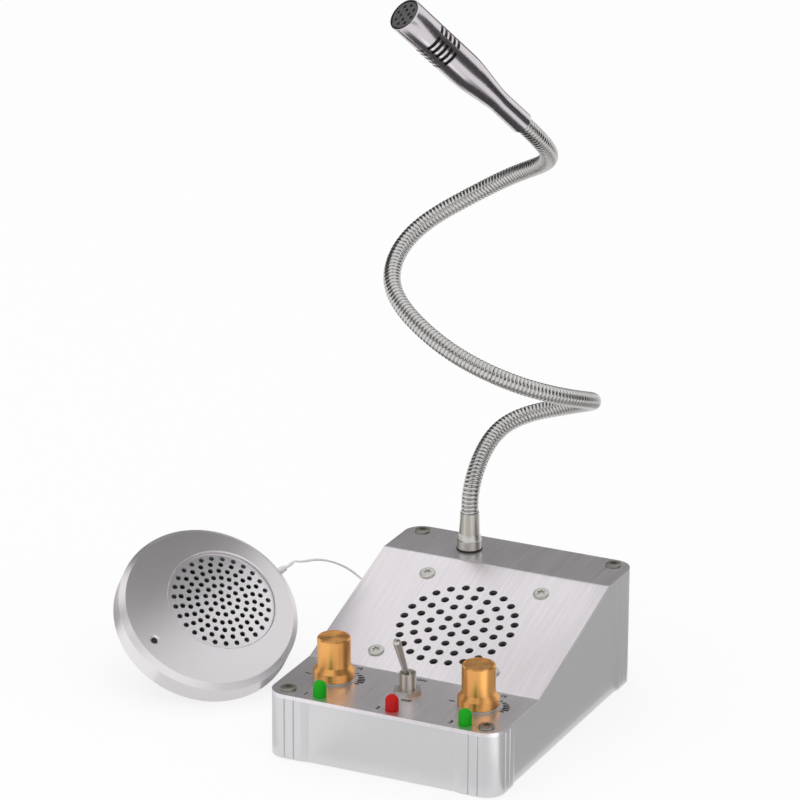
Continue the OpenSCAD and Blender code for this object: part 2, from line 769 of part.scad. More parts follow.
module neck_foot() {
    sleeve_r = neck_r + 0.8;
    color([0.72, 0.70, 0.66]) on_rear() difference() {
        union() {
            translate([0, 0, -foot_thread_l]) cylinder(r = foot_thread_r, h = foot_thread_l + 1);
            rotate_extrude($fn = 64)
                polygon([[0, 0.6], [collar_r - 0.4, 0.6], [collar_r, 1], [collar_r, collar_h - 0.3],
                         [collar_r - 0.3, collar_h], [sleeve_r + 0.3, collar_h + flare_h*0.7],
                         [sleeve_r, collar_h + flare_h], [neck_r + 0.4, foot_h - 0.3], [neck_r + 0.2, foot_h],
                         [0, foot_h]]);
        }
        translate([0, 0, foot_ledge]) cylinder(r = neck_bore_r, h = foot_h);
        translate([0, 0, -foot_thread_l - 1]) cylinder(r = 3, h = foot_thread_l + foot_ledge + 2);
    }
}

module neck_nut() {
    color([0.7, 0.7, 0.7]) on_rear() translate([0, 0, -plate_t - neck_nut_t]) difference() {
        hex(neck_nut_af, neck_nut_t);
        translate([0, 0, -1]) cylinder(r = foot_thread_r + fit_gap/2, h = neck_nut_t + 2);
    }
}

module on_foot_top() {
    on_rear() translate([0, 0, foot_h]) children();
}

// Stretch of the gooseneck from route point u0 to u1
module neck_stretch(u0, u1) {
    steps = max(ceil((u1 - u0)/ring_step), 2);
    at = [for (i = [0:steps]) u0 + (u1 - u0)*i/steps];
    tube([for (u = at) on_route(neck_route, u)], [for (u = at) heading(neck_route, u)], neck_r, neck_sides);
}

// Route number at the distance d along the route from route number u
function along(u, d) = u + d/norm(on_route(neck_route, u + 0.05) - on_route(neck_route, u - 0.05))*0.1;

// One piece of the gooseneck: a socket at bending point a, a ball at bending point b
module neck_piece(a, b) {
    color([0.66, 0.66, 0.66]) on_foot_top() difference() {
        union() {
            neck_stretch(along(a, bend_gap), along(b, -bend_gap));
            translate(on_route(neck_route, b)) sphere(ball_r);
        }
        translate(on_route(neck_route, a)) sphere(socket_r);
    }
}

module neck_root() {
    color([0.66, 0.66, 0.66]) on_foot_top() {
        translate([0, 0, foot_ledge - foot_h]) cylinder(r = stub_r, h = foot_h - foot_ledge + 1);
        neck_stretch(0, along(bend_at[0], -bend_gap));
        translate(on_route(neck_route, bend_at[0])) sphere(ball_r);
    }
}

module neck_lower() { neck_piece(bend_at[0], bend_at[1]); }
module neck_middle() { neck_piece(bend_at[1], bend_at[2]); }
module neck_upper() { neck_piece(bend_at[2], bend_at[3]); }

module neck_tip() {
    color([0.66, 0.66, 0.66]) {
        on_foot_top() difference() {
            neck_stretch(along(bend_at[3], bend_gap), route_end);
            translate(on_route(neck_route, bend_at[3])) sphere(socket_r);
        }
        on_mic() translate([0, 0, -1]) cylinder(r = stub_r, h = 9);
    }
}

// ---------- microphone ----------

// Place at the microphone's rear end, with +Z along it to the front
module on_mic() {
    d = unit(neck_route[route_end] - neck_route[route_end - 1]);
    on_foot_top() translate(neck_route[route_end])
        rotate([0, acos(d[2]), atan2(d[1], d[0])]) children();
}

module mic_housing() {
    taper_z = mic_l - mic_head_l;
    color([0.42, 0.41, 0.41]) on_mic() difference() {
        rotate_extrude($fn = 64)
            polygon([[0, 0], [mic_tail_r - 0.3, 0], [mic_tail_r, 0.3], [mic_tail_r, mic_tail_l - 1],
                     [mic_tail_r + 0.5, mic_tail_l], [mic_r - 0.3, taper_z - 0.8], [mic_r, taper_z],
                     [mic_r, mic_l - 0.5], [mic_r - 0.5, mic_l], [0, mic_l]]);
        translate([0, 0, -1]) cylinder(r = neck_bore_r, h = 10);
        translate([0, 0, 8]) cylinder(r = 3, h = mic_l);
        translate([0, 0, taper_z + 2]) cylinder(r = mic_bore_r, h = mic_head_l);
        for (g = [0:slot_groups - 1], i = [0:slot_rows - 1])
            rotate([0, 0, 360*g/slot_groups]) translate([0, 0, mic_l - slot_at - i*slot_pitch - slot_w])
                rotate([0, 0, -slot_span/2]) rotate_extrude(angle = slot_span, $fn = 64)
                    translate([mic_bore_r - 1, 0]) square([mic_wall + 2, slot_w]);
    }
}

module mic_grille() {
    color([0.5, 0.5, 0.5]) on_mic() translate([0, 0, mic_l - mic_end_t - 0.3]) difference() {
        cylinder(r = mic_bore_r - run_gap, h = mic_end_t);
        for (i = [0:3]) rotate([0, 0, 90*i + 20]) translate([2.5, 0, -1]) cylinder(r = 0.9, h = 4);
        for (i = [0:7]) rotate([0, 0, 45*i]) translate([5.1, 0, -1]) cylinder(r = 0.9, h = 4);
    }
}

module mic_capsule() {
    color([0.75, 0.75, 0.72]) on_mic() translate([0, 0, mic_l - mic_end_t - 1 - capsule_h])
        cylinder(r = capsule_r, h = capsule_h);
}

// Black sleeve that holds the capsule and shows behind the slots
module mic_sleeve() {
    color([0.04, 0.04, 0.04]) on_mic() translate([0, 0, mic_l - mic_head_l + 3]) difference() {
        cylinder(r = mic_bore_r - fit_gap, h = mic_head_l - mic_end_t - 3 - 0.7);
        translate([0, 0, -1]) cylinder(r = 3, h = mic_head_l);
        translate([0, 0, mic_head_l - mic_end_t - 4 - capsule_h]) cylinder(r = capsule_r + run_gap, h = 20);
    }
}

// ---------- outer speaker ----------

// Place at the middle of the outer speaker's back, with +Z out of its face and +Y towards its grille
module on_puck() {
    translate(puck_mid) rotate([0, puck_tilt, puck_turn]) rotate([0, 0, puck_spin]) children();
}

module puck_screws_at() {
    for (a = puck_screw_at) rotate([0, 0, a]) translate([puck_screw_off, 0, 0]) children();
}

module outer_shell() {
    color([0.76, 0.75, 0.76]) on_puck() difference() {
        union() {
            difference() {
                rotate_extrude($fn = 128)
                    polygon([[0, 0], [puck_r, 0], [puck_r, puck_h - puck_chamfer],
                             [puck_r - puck_chamfer, puck_h], [0, puck_h]]);
                translate([0, 0, -1]) cylinder(r = puck_r - puck_wall - 0.6, h = puck_face_z + 1, $fn = 128);
            }
            puck_screws_at() translate([0, 0, tape_t + puck_back_t]) cylinder(r = 3, h = puck_face_z - tape_t - puck_back_t + eps);
            translate([0, grille_off, grille_z - grille_t - 1]) cylinder(r = grille_r + 1.5, h = 2.5, $fn = 96);
        }
        translate([0, grille_off, grille_z - grille_t]) cylinder(r = grille_r, h = 10, $fn = 96);
        translate([0, grille_off, puck_h - 0.5]) cylinder(r1 = grille_r, r2 = grille_r + 0.8, h = 0.8, $fn = 96);
        translate([0, grille_off, 5]) cylinder(r = grille_r - ledge_w, h = 10, $fn = 96);
        translate([0, -pin_off, 5]) cylinder(r = 1.65, h = 12);
        translate([0, -pin_off, puck_h - 0.9]) cylinder(r1 = 1.65, r2 = 2.65, h = 1);
        puck_screws_at() translate([0, 0, -1]) cylinder(r = 1.3 + run_gap, h = 9);
        translate([0, puck_r - 8, gland_z]) rotate([-90, 0, 0]) cylinder(r = 2.4 + fit_gap, h = 12);
    }
}

module outer_grille() {
    color([0.8, 0.8, 0.81]) on_puck() translate([0, grille_off, grille_z - grille_t]) difference() {
        intersection() {
            cylinder(r = grille_r - fit_gap, h = grille_t + dome_h, $fn = 96);
            difference() {
                translate([0, 0, grille_t + dome_h - dome_r]) sphere(dome_r, $fn = 200);
                translate([0, 0, dome_h - dome_r]) sphere(dome_r, $fn = 200);
            }
        }
        for (ring = puck_rings, i = [0:ring[1] - 1])
            rotate([0, 0, 360*i/ring[1] + 7*ring[0]]) translate([ring[0], 0, -1])
                cylinder(r = puck_hole_r, h = grille_t + dome_h + 2);
    }
}

module outer_back() {
    color([0.3, 0.3, 0.32]) on_puck() translate([0, 0, tape_t]) difference() {
        cylinder(r = puck_r - puck_wall - 0.6 - fit_gap, h = puck_back_t, $fn = 128);
        puck_screws_at() translate([0, 0, -1]) cylinder(r = 1.3 + fit_gap, h = 4);
    }
}

module outer_screws() {
    color([0.6, 0.6, 0.6]) on_puck() puck_screws_at() {
        translate([0, 0, tape_t - 0.6]) cylinder(r = 2.2, h = 0.6);
        translate([0, 0, tape_t - eps]) cylinder(r = 1.3, h = 6.5);
    }
}

module outer_tape() {
    color([0.15, 0.15, 0.15]) on_puck() difference() {
        cylinder(r = tape_r, h = tape_t - fit_gap/5, $fn = 96);
        translate([0, 0, -1]) cylinder(r = tape_r - tape_w, h = 3, $fn = 96);
    }
}

module outer_speaker() {
    lift = grille_z - grille_t - 1;
    color([0.25, 0.25, 0.26]) on_puck() translate([0, grille_off, 0]) difference() {
        union() {
            translate([0, 0, lift - 1.5]) cylinder(r = grille_r - 1.5, h = 1.5, $fn = 96);
            translate([0, 0, 4]) cylinder(r1 = 15, r2 = grille_r - 3.5, h = lift - 5.5 + eps, $fn = 96);
            translate([0, 0, tape_t + puck_back_t + soft_gap]) cylinder(r = 12, h = 2.5);
        }
        translate([0, 0, 5.2]) cylinder(r1 = 11, r2 = grille_r - 6, h = lift - 6.7, $fn = 96);
        translate([0, 0, lift - 1.5 - eps]) cylinder(r = grille_r - 4.5, h = 3, $fn = 96);
    }
}

module outer_cone() {
    lift = grille_z - grille_t - 1;
    color([0.12, 0.12, 0.13]) on_puck() translate([0, grille_off, 0]) rotate_extrude($fn = 64)
        polygon([[0, lift - 3.4], [6, lift - 3.8], [grille_r - 9, lift - 1.1], [grille_r - 6.5, lift - 0.6],
                 [grille_r - 4.7, lift - 1], [grille_r - 4.7, lift - 1.4], [grille_r - 6.5, lift - 1.1],
                 [grille_r - 9, lift - 1.6], [6.4, lift - 4.3], [0, lift - 4]]);
}

module outer_mic() {
    color([0.1, 0.1, 0.1]) on_puck() translate([0, -pin_off, puck_face_z - 4.5 - fit_gap]) cylinder(r = 3.2, h = 4.5);
}

module outer_gland() {
    color([0.2, 0.2, 0.2]) on_puck() translate([0, puck_r - puck_wall - 2.6, gland_z]) rotate([-90, 0, 0]) difference() {
        union() {
            cylinder(r = 2.4, h = puck_wall + 2.6);
            cylinder(r = 3.4, h = 1.8);
            translate([0, 0, puck_wall + 2.6]) cylinder(r1 = 2.4, r2 = 1.4, h = gland_l - 2);
        }
        translate([0, 0, -1]) cylinder(r = cord_r + run_gap, h = 30);
    }
}

// ---------- sockets, cord and plug ----------

socket_thread_r = 3.9;

module speaker_socket() {
    color([0.12, 0.12, 0.12]) translate([-socket_x, back_y, socket_z]) rotate([-90, 0, 0]) difference() {
        union() {
            translate([0, 0, -wall_t]) cylinder(r = socket_thread_r, h = wall_t + socket_out);
            translate([-6, -6, -wall_t - 11]) cube([12, 12, 11]);
        }
        translate([0, 0, -wall_t - 10]) cylinder(r = plug_pin_r + run_gap, h = 30);
    }
}

module power_socket() {
    color([0.12, 0.12, 0.12]) translate([socket_x, back_y, socket_z]) rotate([-90, 0, 0]) {
        difference() {
            union() {
                translate([0, 0, -wall_t]) cylinder(r = socket_thread_r, h = wall_t + socket_out);
                translate([-6, -6, -wall_t - 11]) cube([12, 12, 11]);
            }
            translate([0, 0, -wall_t - 6]) cylinder(r = dc_bore_r, h = 30);
        }
        translate([0, 0, -wall_t - 6 - eps]) cylinder(r = 1, h = wall_t + 6 + socket_out - 1);
    }
}

module socket_nuts() {
    color([0.7, 0.7, 0.7]) socket_places() difference() {
        hex(11, 2);
        translate([0, 0, -1]) cylinder(r = socket_thread_r + fit_gap/2, h = 4);
    }
}

module cord_plug() {
    color([0.1, 0.1, 0.1]) translate([-socket_x, plug_y + fit_gap, socket_z]) rotate([-90, 0, 0]) difference() {
        union() {
            translate([0, 0, -plug_pin_l]) cylinder(r = plug_pin_r, h = plug_pin_l + eps);
            cylinder(r = 4.2, h = plug_l - 6);
            translate([0, 0, plug_l - 6 - eps]) cylinder(r1 = 4.2, r2 = 2.6, h = 6);
            translate([0, 0, plug_l - eps]) cylinder(r1 = 2.2, r2 = 1.4, h = plug_tail_l);
        }
        translate([0, 0, plug_l + plug_tail_l - 6]) cylinder(r = cord_r + run_gap, h = 10);
    }
}

// Stretch of the cord, swept along points chosen by hand
module cord_stretch(route, rings) {
    last = len(route) - 1;
    at = [for (i = [0:rings]) last*i/rings];
    tube([for (u = at) on_route(route, u)], [for (u = at) heading(route, u)], cord_r, cord_sides);
}

function turn_y(v, a) = [cos(a)*v[0] + sin(a)*v[2], v[1], cos(a)*v[2] - sin(a)*v[0]];
function turn_z(v, a) = [cos(a)*v[0] - sin(a)*v[1], sin(a)*v[0] + cos(a)*v[1], v[2]];
function puck_point(v) = puck_mid + turn_z(turn_y(turn_z(v, puck_spin), puck_tilt), puck_turn);

cord_out_route = concat(
    [puck_point(gland_end), puck_point(gland_end + [0, 4, 0])],
    [[-109.2, 47, 43.7], [-112.5, 57, 39.6], [-114.8, 68, 34.8], [-114.6, 78, 32.3], [-113.6, 87, 29.4],
     [-112.4, 95.5, 25.6], [-111.3, 104, 20.9], [-110.5, 112, 15.9], [-110.2, 119.5, 10.4], [-110, 126, 5],
     [-108.5, 131.5, 1.4], [-105, 136.5, cord_r], [-99, 141, cord_r], [-90, 143, cord_r], [-79, 140.5, cord_r],
     [-68, 133, cord_r], [-57, 125, cord_r]],
    [for (x = [31, 21, 13, 0]) [coil_at[0] - x - (x > 0 ? 0 : sqrt(coil_clear*coil_clear - coil_turn_r*coil_turn_r)),
        plug_end_y + (x > 30 ? 1.8 : 0), cord_r]]);
cord_in_route = [for (p = [[7, -6.6], [5, -3.6], [3, -1], [1.3, -0.05], [0.15, 0]])
    [-socket_x, plug_end_y + p[0], socket_z + p[1]]];

module outer_cord() {
    color([0.85, 0.85, 0.85]) {
        cord_stretch(cord_out_route, 66);
        cord_stretch(cord_in_route, 12);
    }
}

module cord_coil() {
    color([0.85, 0.85, 0.85]) translate([coil_at[0], coil_at[1], 0]) rotate_extrude()
        translate([coil_r - coil_w/2, 0]) square([coil_w, coil_h]);
}

housing();
top_plate();
bottom_plate();
anti_slip_pad();
top_screws();
bottom_screws();
dust_cloth();
speaker_basket();
speaker_cone();
speaker_magnet();
speaker_screws();
speaker_nuts();
amplifier_board();
board_parts();
heat_sink();
board_standoffs();
board_screws();
inside_volume_pot();
outside_volume_pot();
pot_nuts();
inside_shaft();
outside_shaft();
inside_knob();
outside_knob();
switch_body();
switch_nut();
switch_lever();
inside_lamp();
power_lamp();
outside_lamp();
neck_washer();
neck_foot();
neck_nut();
neck_root();
neck_lower();
neck_middle();
neck_upper();
neck_tip();
mic_housing();
mic_grille();
mic_capsule();
mic_sleeve();
outer_shell();
outer_grille();
outer_back();
outer_screws();
outer_tape();
outer_speaker();
outer_cone();
outer_mic();
outer_gland();
speaker_socket();
power_socket();
socket_nuts();
outer_cord();
cord_coil();
cord_plug();
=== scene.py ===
import json
import math

import bmesh
import bpy
from mathutils import Matrix, Vector

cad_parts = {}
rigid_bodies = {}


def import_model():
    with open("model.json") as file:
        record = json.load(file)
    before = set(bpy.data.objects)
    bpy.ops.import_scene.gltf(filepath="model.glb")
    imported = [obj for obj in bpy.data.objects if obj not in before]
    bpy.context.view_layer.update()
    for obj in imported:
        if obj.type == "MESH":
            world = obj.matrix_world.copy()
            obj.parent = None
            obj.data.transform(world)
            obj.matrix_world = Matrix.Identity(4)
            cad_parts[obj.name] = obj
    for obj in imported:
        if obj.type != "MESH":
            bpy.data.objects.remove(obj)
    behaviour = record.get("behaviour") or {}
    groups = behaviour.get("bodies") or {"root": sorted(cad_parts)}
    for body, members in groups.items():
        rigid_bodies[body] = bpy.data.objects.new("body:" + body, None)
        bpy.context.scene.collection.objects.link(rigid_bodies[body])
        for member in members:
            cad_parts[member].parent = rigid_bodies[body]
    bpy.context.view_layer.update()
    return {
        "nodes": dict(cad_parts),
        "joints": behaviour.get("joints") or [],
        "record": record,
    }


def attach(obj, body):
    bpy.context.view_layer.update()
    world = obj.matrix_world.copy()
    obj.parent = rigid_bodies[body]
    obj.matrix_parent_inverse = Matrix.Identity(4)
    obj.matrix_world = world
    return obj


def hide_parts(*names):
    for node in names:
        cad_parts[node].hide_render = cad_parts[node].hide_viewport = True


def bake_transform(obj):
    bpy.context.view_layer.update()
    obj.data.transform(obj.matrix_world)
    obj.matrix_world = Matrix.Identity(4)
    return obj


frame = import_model()
nodes = frame["nodes"]
scene = bpy.context.scene
scene.view_settings.view_transform = "Standard"
print("frame:", len(nodes), "nodes")


# the photograph's camera
shot = {"place": (0.92058, -2.00626, 0.96888), "turn": 25.327, "down": 20.087, "roll": 0.257, "lens": 224.51,
        "sensor": 36, "farClip": 40}
camera = bpy.data.objects.new("camera", bpy.data.cameras.new("camera"))
camera.data.lens = shot["lens"]
camera.data.sensor_width = shot["sensor"]
camera.data.clip_end = shot["farClip"]
camera.matrix_world = (Matrix.Translation(shot["place"]) @ Matrix.Rotation(math.radians(shot["turn"]), 4, "Z")
                       @ Matrix.Rotation(math.radians(90 - shot["down"]), 4, "X")
                       @ Matrix.Rotation(math.radians(shot["roll"]), 4, "Z"))
scene.collection.objects.link(camera)
scene.camera = camera


# ---- shared helpers

def curvePoint(knots, u):  # smooth curve through a list of knots, as the part's source has it
    last = len(knots) - 1
    i = min(int(u), last - 1)
    t = u - i
    s = 1 - t
    before = knots[i - 1] if i > 0 else 2*knots[0] - knots[1]
    after = knots[i + 2] if i < last - 1 else 2*knots[last] - knots[last - 1]
    return (s**3*before + (3*t**3 - 6*t*t + 4)*knots[i] + (3*s**3 - 6*s*s + 4)*knots[i + 1] + t**3*after)/6


def curveLine(knots, count):
    return [curvePoint(knots, (len(knots) - 1)*i/count) for i in range(count + 1)]


def linkMesh(name, mesh):
    piece = bpy.data.objects.new(name, mesh)
    scene.collection.objects.link(piece)
    return piece


def meshFrom(name, bm, smooth=True):
    mesh = bpy.data.meshes.new(name)
    for face in bm.faces:
        face.smooth = smooth
    bm.to_mesh(mesh)
    bm.free()
    return mesh


def joinMeshes(name, mesh, places):  # one object with a copy of the mesh at each place
    bm = bmesh.new()
    for place in places:
        start = len(bm.verts)
        bm.from_mesh(mesh)
        bm.verts.ensure_lookup_table()
        bmesh.ops.transform(bm, matrix=place, verts=bm.verts[start:])
    joined = bpy.data.meshes.new(name)
    bm.to_mesh(joined)
    bm.free()
    return linkMesh(name, joined)


def turned(profile, steps):  # half section (radius, height) spun about Z
    bm = bmesh.new()
    verts = [bm.verts.new((r, 0, z)) for r, z in profile]
    edges = [bm.edges.new(pair) for pair in zip(verts, verts[1:])]
    bmesh.ops.spin(bm, geom=verts + edges, cent=(0, 0, 0), axis=(0, 0, 1), angle=math.tau, steps=steps,
                   use_merge=True)
    bmesh.ops.remove_doubles(bm, verts=bm.verts, dist=1e-6)
    return bm


# ---- the cord, from the outer speaker behind the desk unit into its socket

cord = {
    "width": 0.0018, "thick": 0.0010, "length": 1.5, "straight": 0.004, "pointsPerKnot": 3, "stepsPerTurn": 20,
    "gland": (-0.10810, 0.03593, 0.04448), "glandWay": (0.3869, 0.8937, 0.2268),
    "out": [(-109.2, 47, 43.7), (-112.5, 57, 39.6), (-114.8, 68, 34.8), (-114.6, 78, 32.3), (-113.6, 87, 29.4),
            (-112.4, 95.5, 25.6), (-111.3, 104, 20.9), (-110.5, 112, 15.9), (-110.2, 119.5, 10.4), (-110, 126, 5),
            (-108.5, 131.5, 1.4), (-105, 136.5, 0.9), (-99, 141, 0.9), (-90, 143, 0.9), (-79, 140.5, 0.9),
            (-68, 133, 0.9), (-57, 125, 0.9), (-46.1, 119.44, 0.9), (-36.1, 117.64, 0.9), (-28.1, 117.64, 0.9),
            (-23.2, 117.64, 0.9), (-15.1, 117.64, 0.9)],
    "coilMiddle": (-0.0151, 0.13204), "coilStart": (0.0144, 0.0009),
    "coilRuns": [(4, 7.2, 0.9), (0.75, 7.2, 2.7), (4, 14.4, 2.7), (1.25, 14.4, 4.5), (4, 7.2, 4.5),
                 (0.75, 7.2, 6.3), (4, 14.4, 6.3)],  # turns, radius and height at their end
    "in": [(-29.5, 132.04, 6.3), (-29.5, 129.4, 6.35), (-29.5, 126.9, 7.3), (-29.5, 124.64, 9.4),
           (-29.5, 122.64, 12.4), (-29.5, 120.64, 15), (-29.5, 118.94, 15.95), (-29.5, 117.4, 16),
           (-29.5, 115, 16), (-29.5, 113, 16)],
}


def coilLine(spec):
    middle = Vector(spec["coilMiddle"])
    radius, height = spec["coilStart"]
    angle = -math.pi/2
    points = []
    for turns, endRadius, endHeight in spec["coilRuns"]:
        steps = int(turns*spec["stepsPerTurn"])
        for i in range(1, steps + 1):
            share = i/steps
            r = radius + (endRadius/1000 - radius)*share
            z = height + (endHeight/1000 - height)*(3*share**2 - 2*share**3)
            a = angle + math.tau*turns*share
            points.append(Vector((middle.x + r*math.cos(a), middle.y + r*math.sin(a), z)))
        radius, height, angle = endRadius/1000, endHeight/1000, angle + math.tau*turns
    return points


def sweepSection(name, line, section):  # a closed flat section carried along a line
    outline = bpy.data.curves.new(name + "Section", "CURVE")
    outline.dimensions = "2D"
    loop = outline.splines.new("POLY")
    loop.points.add(len(section) - 1)
    for point, (x, y) in zip(loop.points, section):
        point.co = (x, y, 0, 1)
    loop.use_cyclic_u = True
    outlinePiece = linkMesh(name + "Section", outline)
    path = bpy.data.curves.new(name + "Path", "CURVE")
    path.dimensions = "3D"
    path.twist_mode = "Z_UP"
    path.bevel_mode = "OBJECT"
    path.bevel_object = outlinePiece
    path.use_fill_caps = True
    run = path.splines.new("POLY")
    run.points.add(len(line) - 1)
    for point, co in zip(run.points, line):
        point.co = (*co, 1)
    run.use_smooth = True
    pathPiece = linkMesh(name + "Path", path)
    bpy.context.view_layer.update()
    mesh = bpy.data.meshes.new_from_object(pathPiece.evaluated_get(bpy.context.evaluated_depsgraph_get()))
    mesh.name = name
    bpy.data.objects.remove(pathPiece)
    bpy.data.objects.remove(outlinePiece)
    bm = bmesh.new()
    bm.from_mesh(mesh)
    bmesh.ops.remove_doubles(bm, verts=bm.verts, dist=1e-7)
    bmesh.ops.recalc_face_normals(bm, faces=bm.faces)
    bm.to_mesh(mesh)
    bm.free()
    mesh.materials.clear()
    return linkMesh(name, mesh)


exitPoint = Vector(cord["gland"])
exitWay = Vector(cord["glandWay"])
outKnots = ([exitPoint - cord["straight"]*exitWay, exitPoint, exitPoint + cord["straight"]*exitWay]
            + [Vector(p)/1000 for p in cord["out"]])
inKnots = [Vector(p)/1000 for p in cord["in"]]
cordLine = curveLine(outKnots, cord["pointsPerKnot"]*(len(outKnots) - 1))
cordLine += coilLine(cord)
cordLine += curveLine(inKnots, cord["pointsPerKnot"]*(len(inKnots) - 1))[1:]
lobe = cord["thick"]/2
across = cord["width"]/2 - lobe
lobeAngles = (-2.3, -1.5, -0.75, 0, 0.75, 1.5, 2.3)
twinSection = ([(across + lobe*math.cos(a), lobe*math.sin(a)) for a in lobeAngles]
               + [(-across - lobe*math.cos(a), lobe*math.sin(a)) for a in reversed(lobeAngles)])
flex = sweepSection("speakerCord", cordLine, twinSection)
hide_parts("outer_cord", "cord_coil")
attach(flex, "desk_unit")
print("cord:", len(cordLine), "points")


# ---- floor, world and lamps

studio = {"floorSize": 6.0, "floorHeight": -0.0002, "floorColour": (0.86, 0.86, 0.86, 1), "floorWhite": 0.82,
          "floorRough": 0.9, "floorShine": 0.1, "lampAim": (0, 0, 0.1), "skyBlue": 1.005,
          "sky": [(0.0, 0.5), (0.5, 0.42), (0.66, 0.30), (0.80, 0.95), (1.0, 1.05)]}  # share of height, level


def newMaterial(name):
    material = bpy.data.materials.new(name)
    material.use_nodes = True
    tree = material.node_tree
    shader = next(n for n in tree.nodes if n.type == "BSDF_PRINCIPLED")
    return material, tree, shader


def seenDirectly(tree):  # 1 for the camera and for what metal and glass show
    path = tree.nodes.new("ShaderNodeLightPath")
    seen = path.outputs["Is Camera Ray"]
    for ray in ("Is Glossy Ray", "Is Transmission Ray"):
        either = tree.nodes.new("ShaderNodeMath")
        either.operation = "MAXIMUM"
        tree.links.new(seen, either.inputs[0])
        tree.links.new(path.outputs[ray], either.inputs[1])
        seen = either.outputs[0]
    return seen


floorBm = bmesh.new()
bmesh.ops.create_grid(floorBm, x_segments=1, y_segments=1, size=studio["floorSize"],
                      matrix=Matrix.Translation((0, 0, studio["floorHeight"])))
floor = linkMesh("floor", meshFrom("floor", floorBm))
floorMaterial, tree, shader = newMaterial("paleFloor")
shader.inputs["Base Color"].default_value = studio["floorColour"]
shader.inputs["Roughness"].default_value = studio["floorRough"]
shader.inputs["Specular IOR Level"].default_value = studio["floorShine"]
white = tree.nodes.new("ShaderNodeEmission")
mix = tree.nodes.new("ShaderNodeMixShader")
share = tree.nodes.new("ShaderNodeMath")
share.operation = "MULTIPLY"
share.inputs[1].default_value = studio["floorWhite"]
seen = seenDirectly(tree)
tree.links.new(seen, share.inputs[0])
tree.links.new(share.outputs[0], mix.inputs["Fac"])
tree.links.new(shader.outputs["BSDF"], mix.inputs[1])
tree.links.new(white.outputs["Emission"], mix.inputs[2])
tree.links.new(mix.outputs["Shader"], tree.nodes["Material Output"].inputs["Surface"])
floor.data.materials.append(floorMaterial)

world = bpy.data.worlds.new("studio")
scene.world = world
world.use_nodes = True
tree = world.node_tree
tree.nodes.clear()
where = tree.nodes.new("ShaderNodeTexCoord")
split = tree.nodes.new("ShaderNodeSeparateXYZ")
ramp = tree.nodes.new("ShaderNodeValToRGB")
tree.links.new(where.outputs["Generated"], split.inputs["Vector"])
toShare = tree.nodes.new("ShaderNodeMapRange")
toShare.inputs["From Min"].default_value = -1
toShare.inputs["From Max"].default_value = 1
tree.links.new(split.outputs["Z"], toShare.inputs["Value"])
tree.links.new(toShare.outputs["Result"], ramp.inputs["Fac"])
while len(ramp.color_ramp.elements) < len(studio["sky"]):
    ramp.color_ramp.elements.new(0.5)
for element, (at, level) in zip(ramp.color_ramp.elements, studio["sky"]):
    element.position = at
    element.color = (level, level, level*studio["skyBlue"], 1)
soft = tree.nodes.new("ShaderNodeBackground")
plain = tree.nodes.new("ShaderNodeBackground")
plain.inputs["Color"].default_value = (1, 1, 1, 1)
mix = tree.nodes.new("ShaderNodeMixShader")
output = tree.nodes.new("ShaderNodeOutputWorld")
seen = seenDirectly(tree)
tree.links.new(ramp.outputs["Color"], soft.inputs["Color"])
tree.links.new(seen, mix.inputs["Fac"])
tree.links.new(soft.outputs["Background"], mix.inputs[1])
tree.links.new(plain.outputs["Background"], mix.inputs[2])
tree.links.new(mix.outputs["Shader"], output.inputs["Surface"])

lamps = {
    "backSoftbox": {"from": (-0.85, 1.05, 1.75), "size": 1.3, "power": 5},
    "frontSoftbox": {"from": (-0.62, -1.78, 0.72), "size": 1.0, "power": 4},
    "leftSoftbox": {"from": (-1.9, -0.9, 0.9), "size": 1.2, "power": 4},
    "rightStrip": {"from": (2.0, -1.0, 0.8), "size": 0.7, "power": 3},
    "topFill": {"from": (0.2, -0.6, 2.2), "size": 1.2, "power": 5},
}
for name, lamp in lamps.items():
    light = bpy.data.lights.new(name, "AREA")
    light.shape = "SQUARE"
    light.size = lamp["size"]
    light.energy = lamp["power"]
    piece = bpy.data.objects.new(name, light)
    place = Vector(lamp["from"])
    aim = (Vector(studio["lampAim"]) - place).to_track_quat("-Z", "Y").to_matrix().to_4x4()
    piece.matrix_world = Matrix.Translation(place) @ aim
    piece.visible_glossy = False  # metal shows the cards, not the lamps
    scene.collection.objects.link(piece)

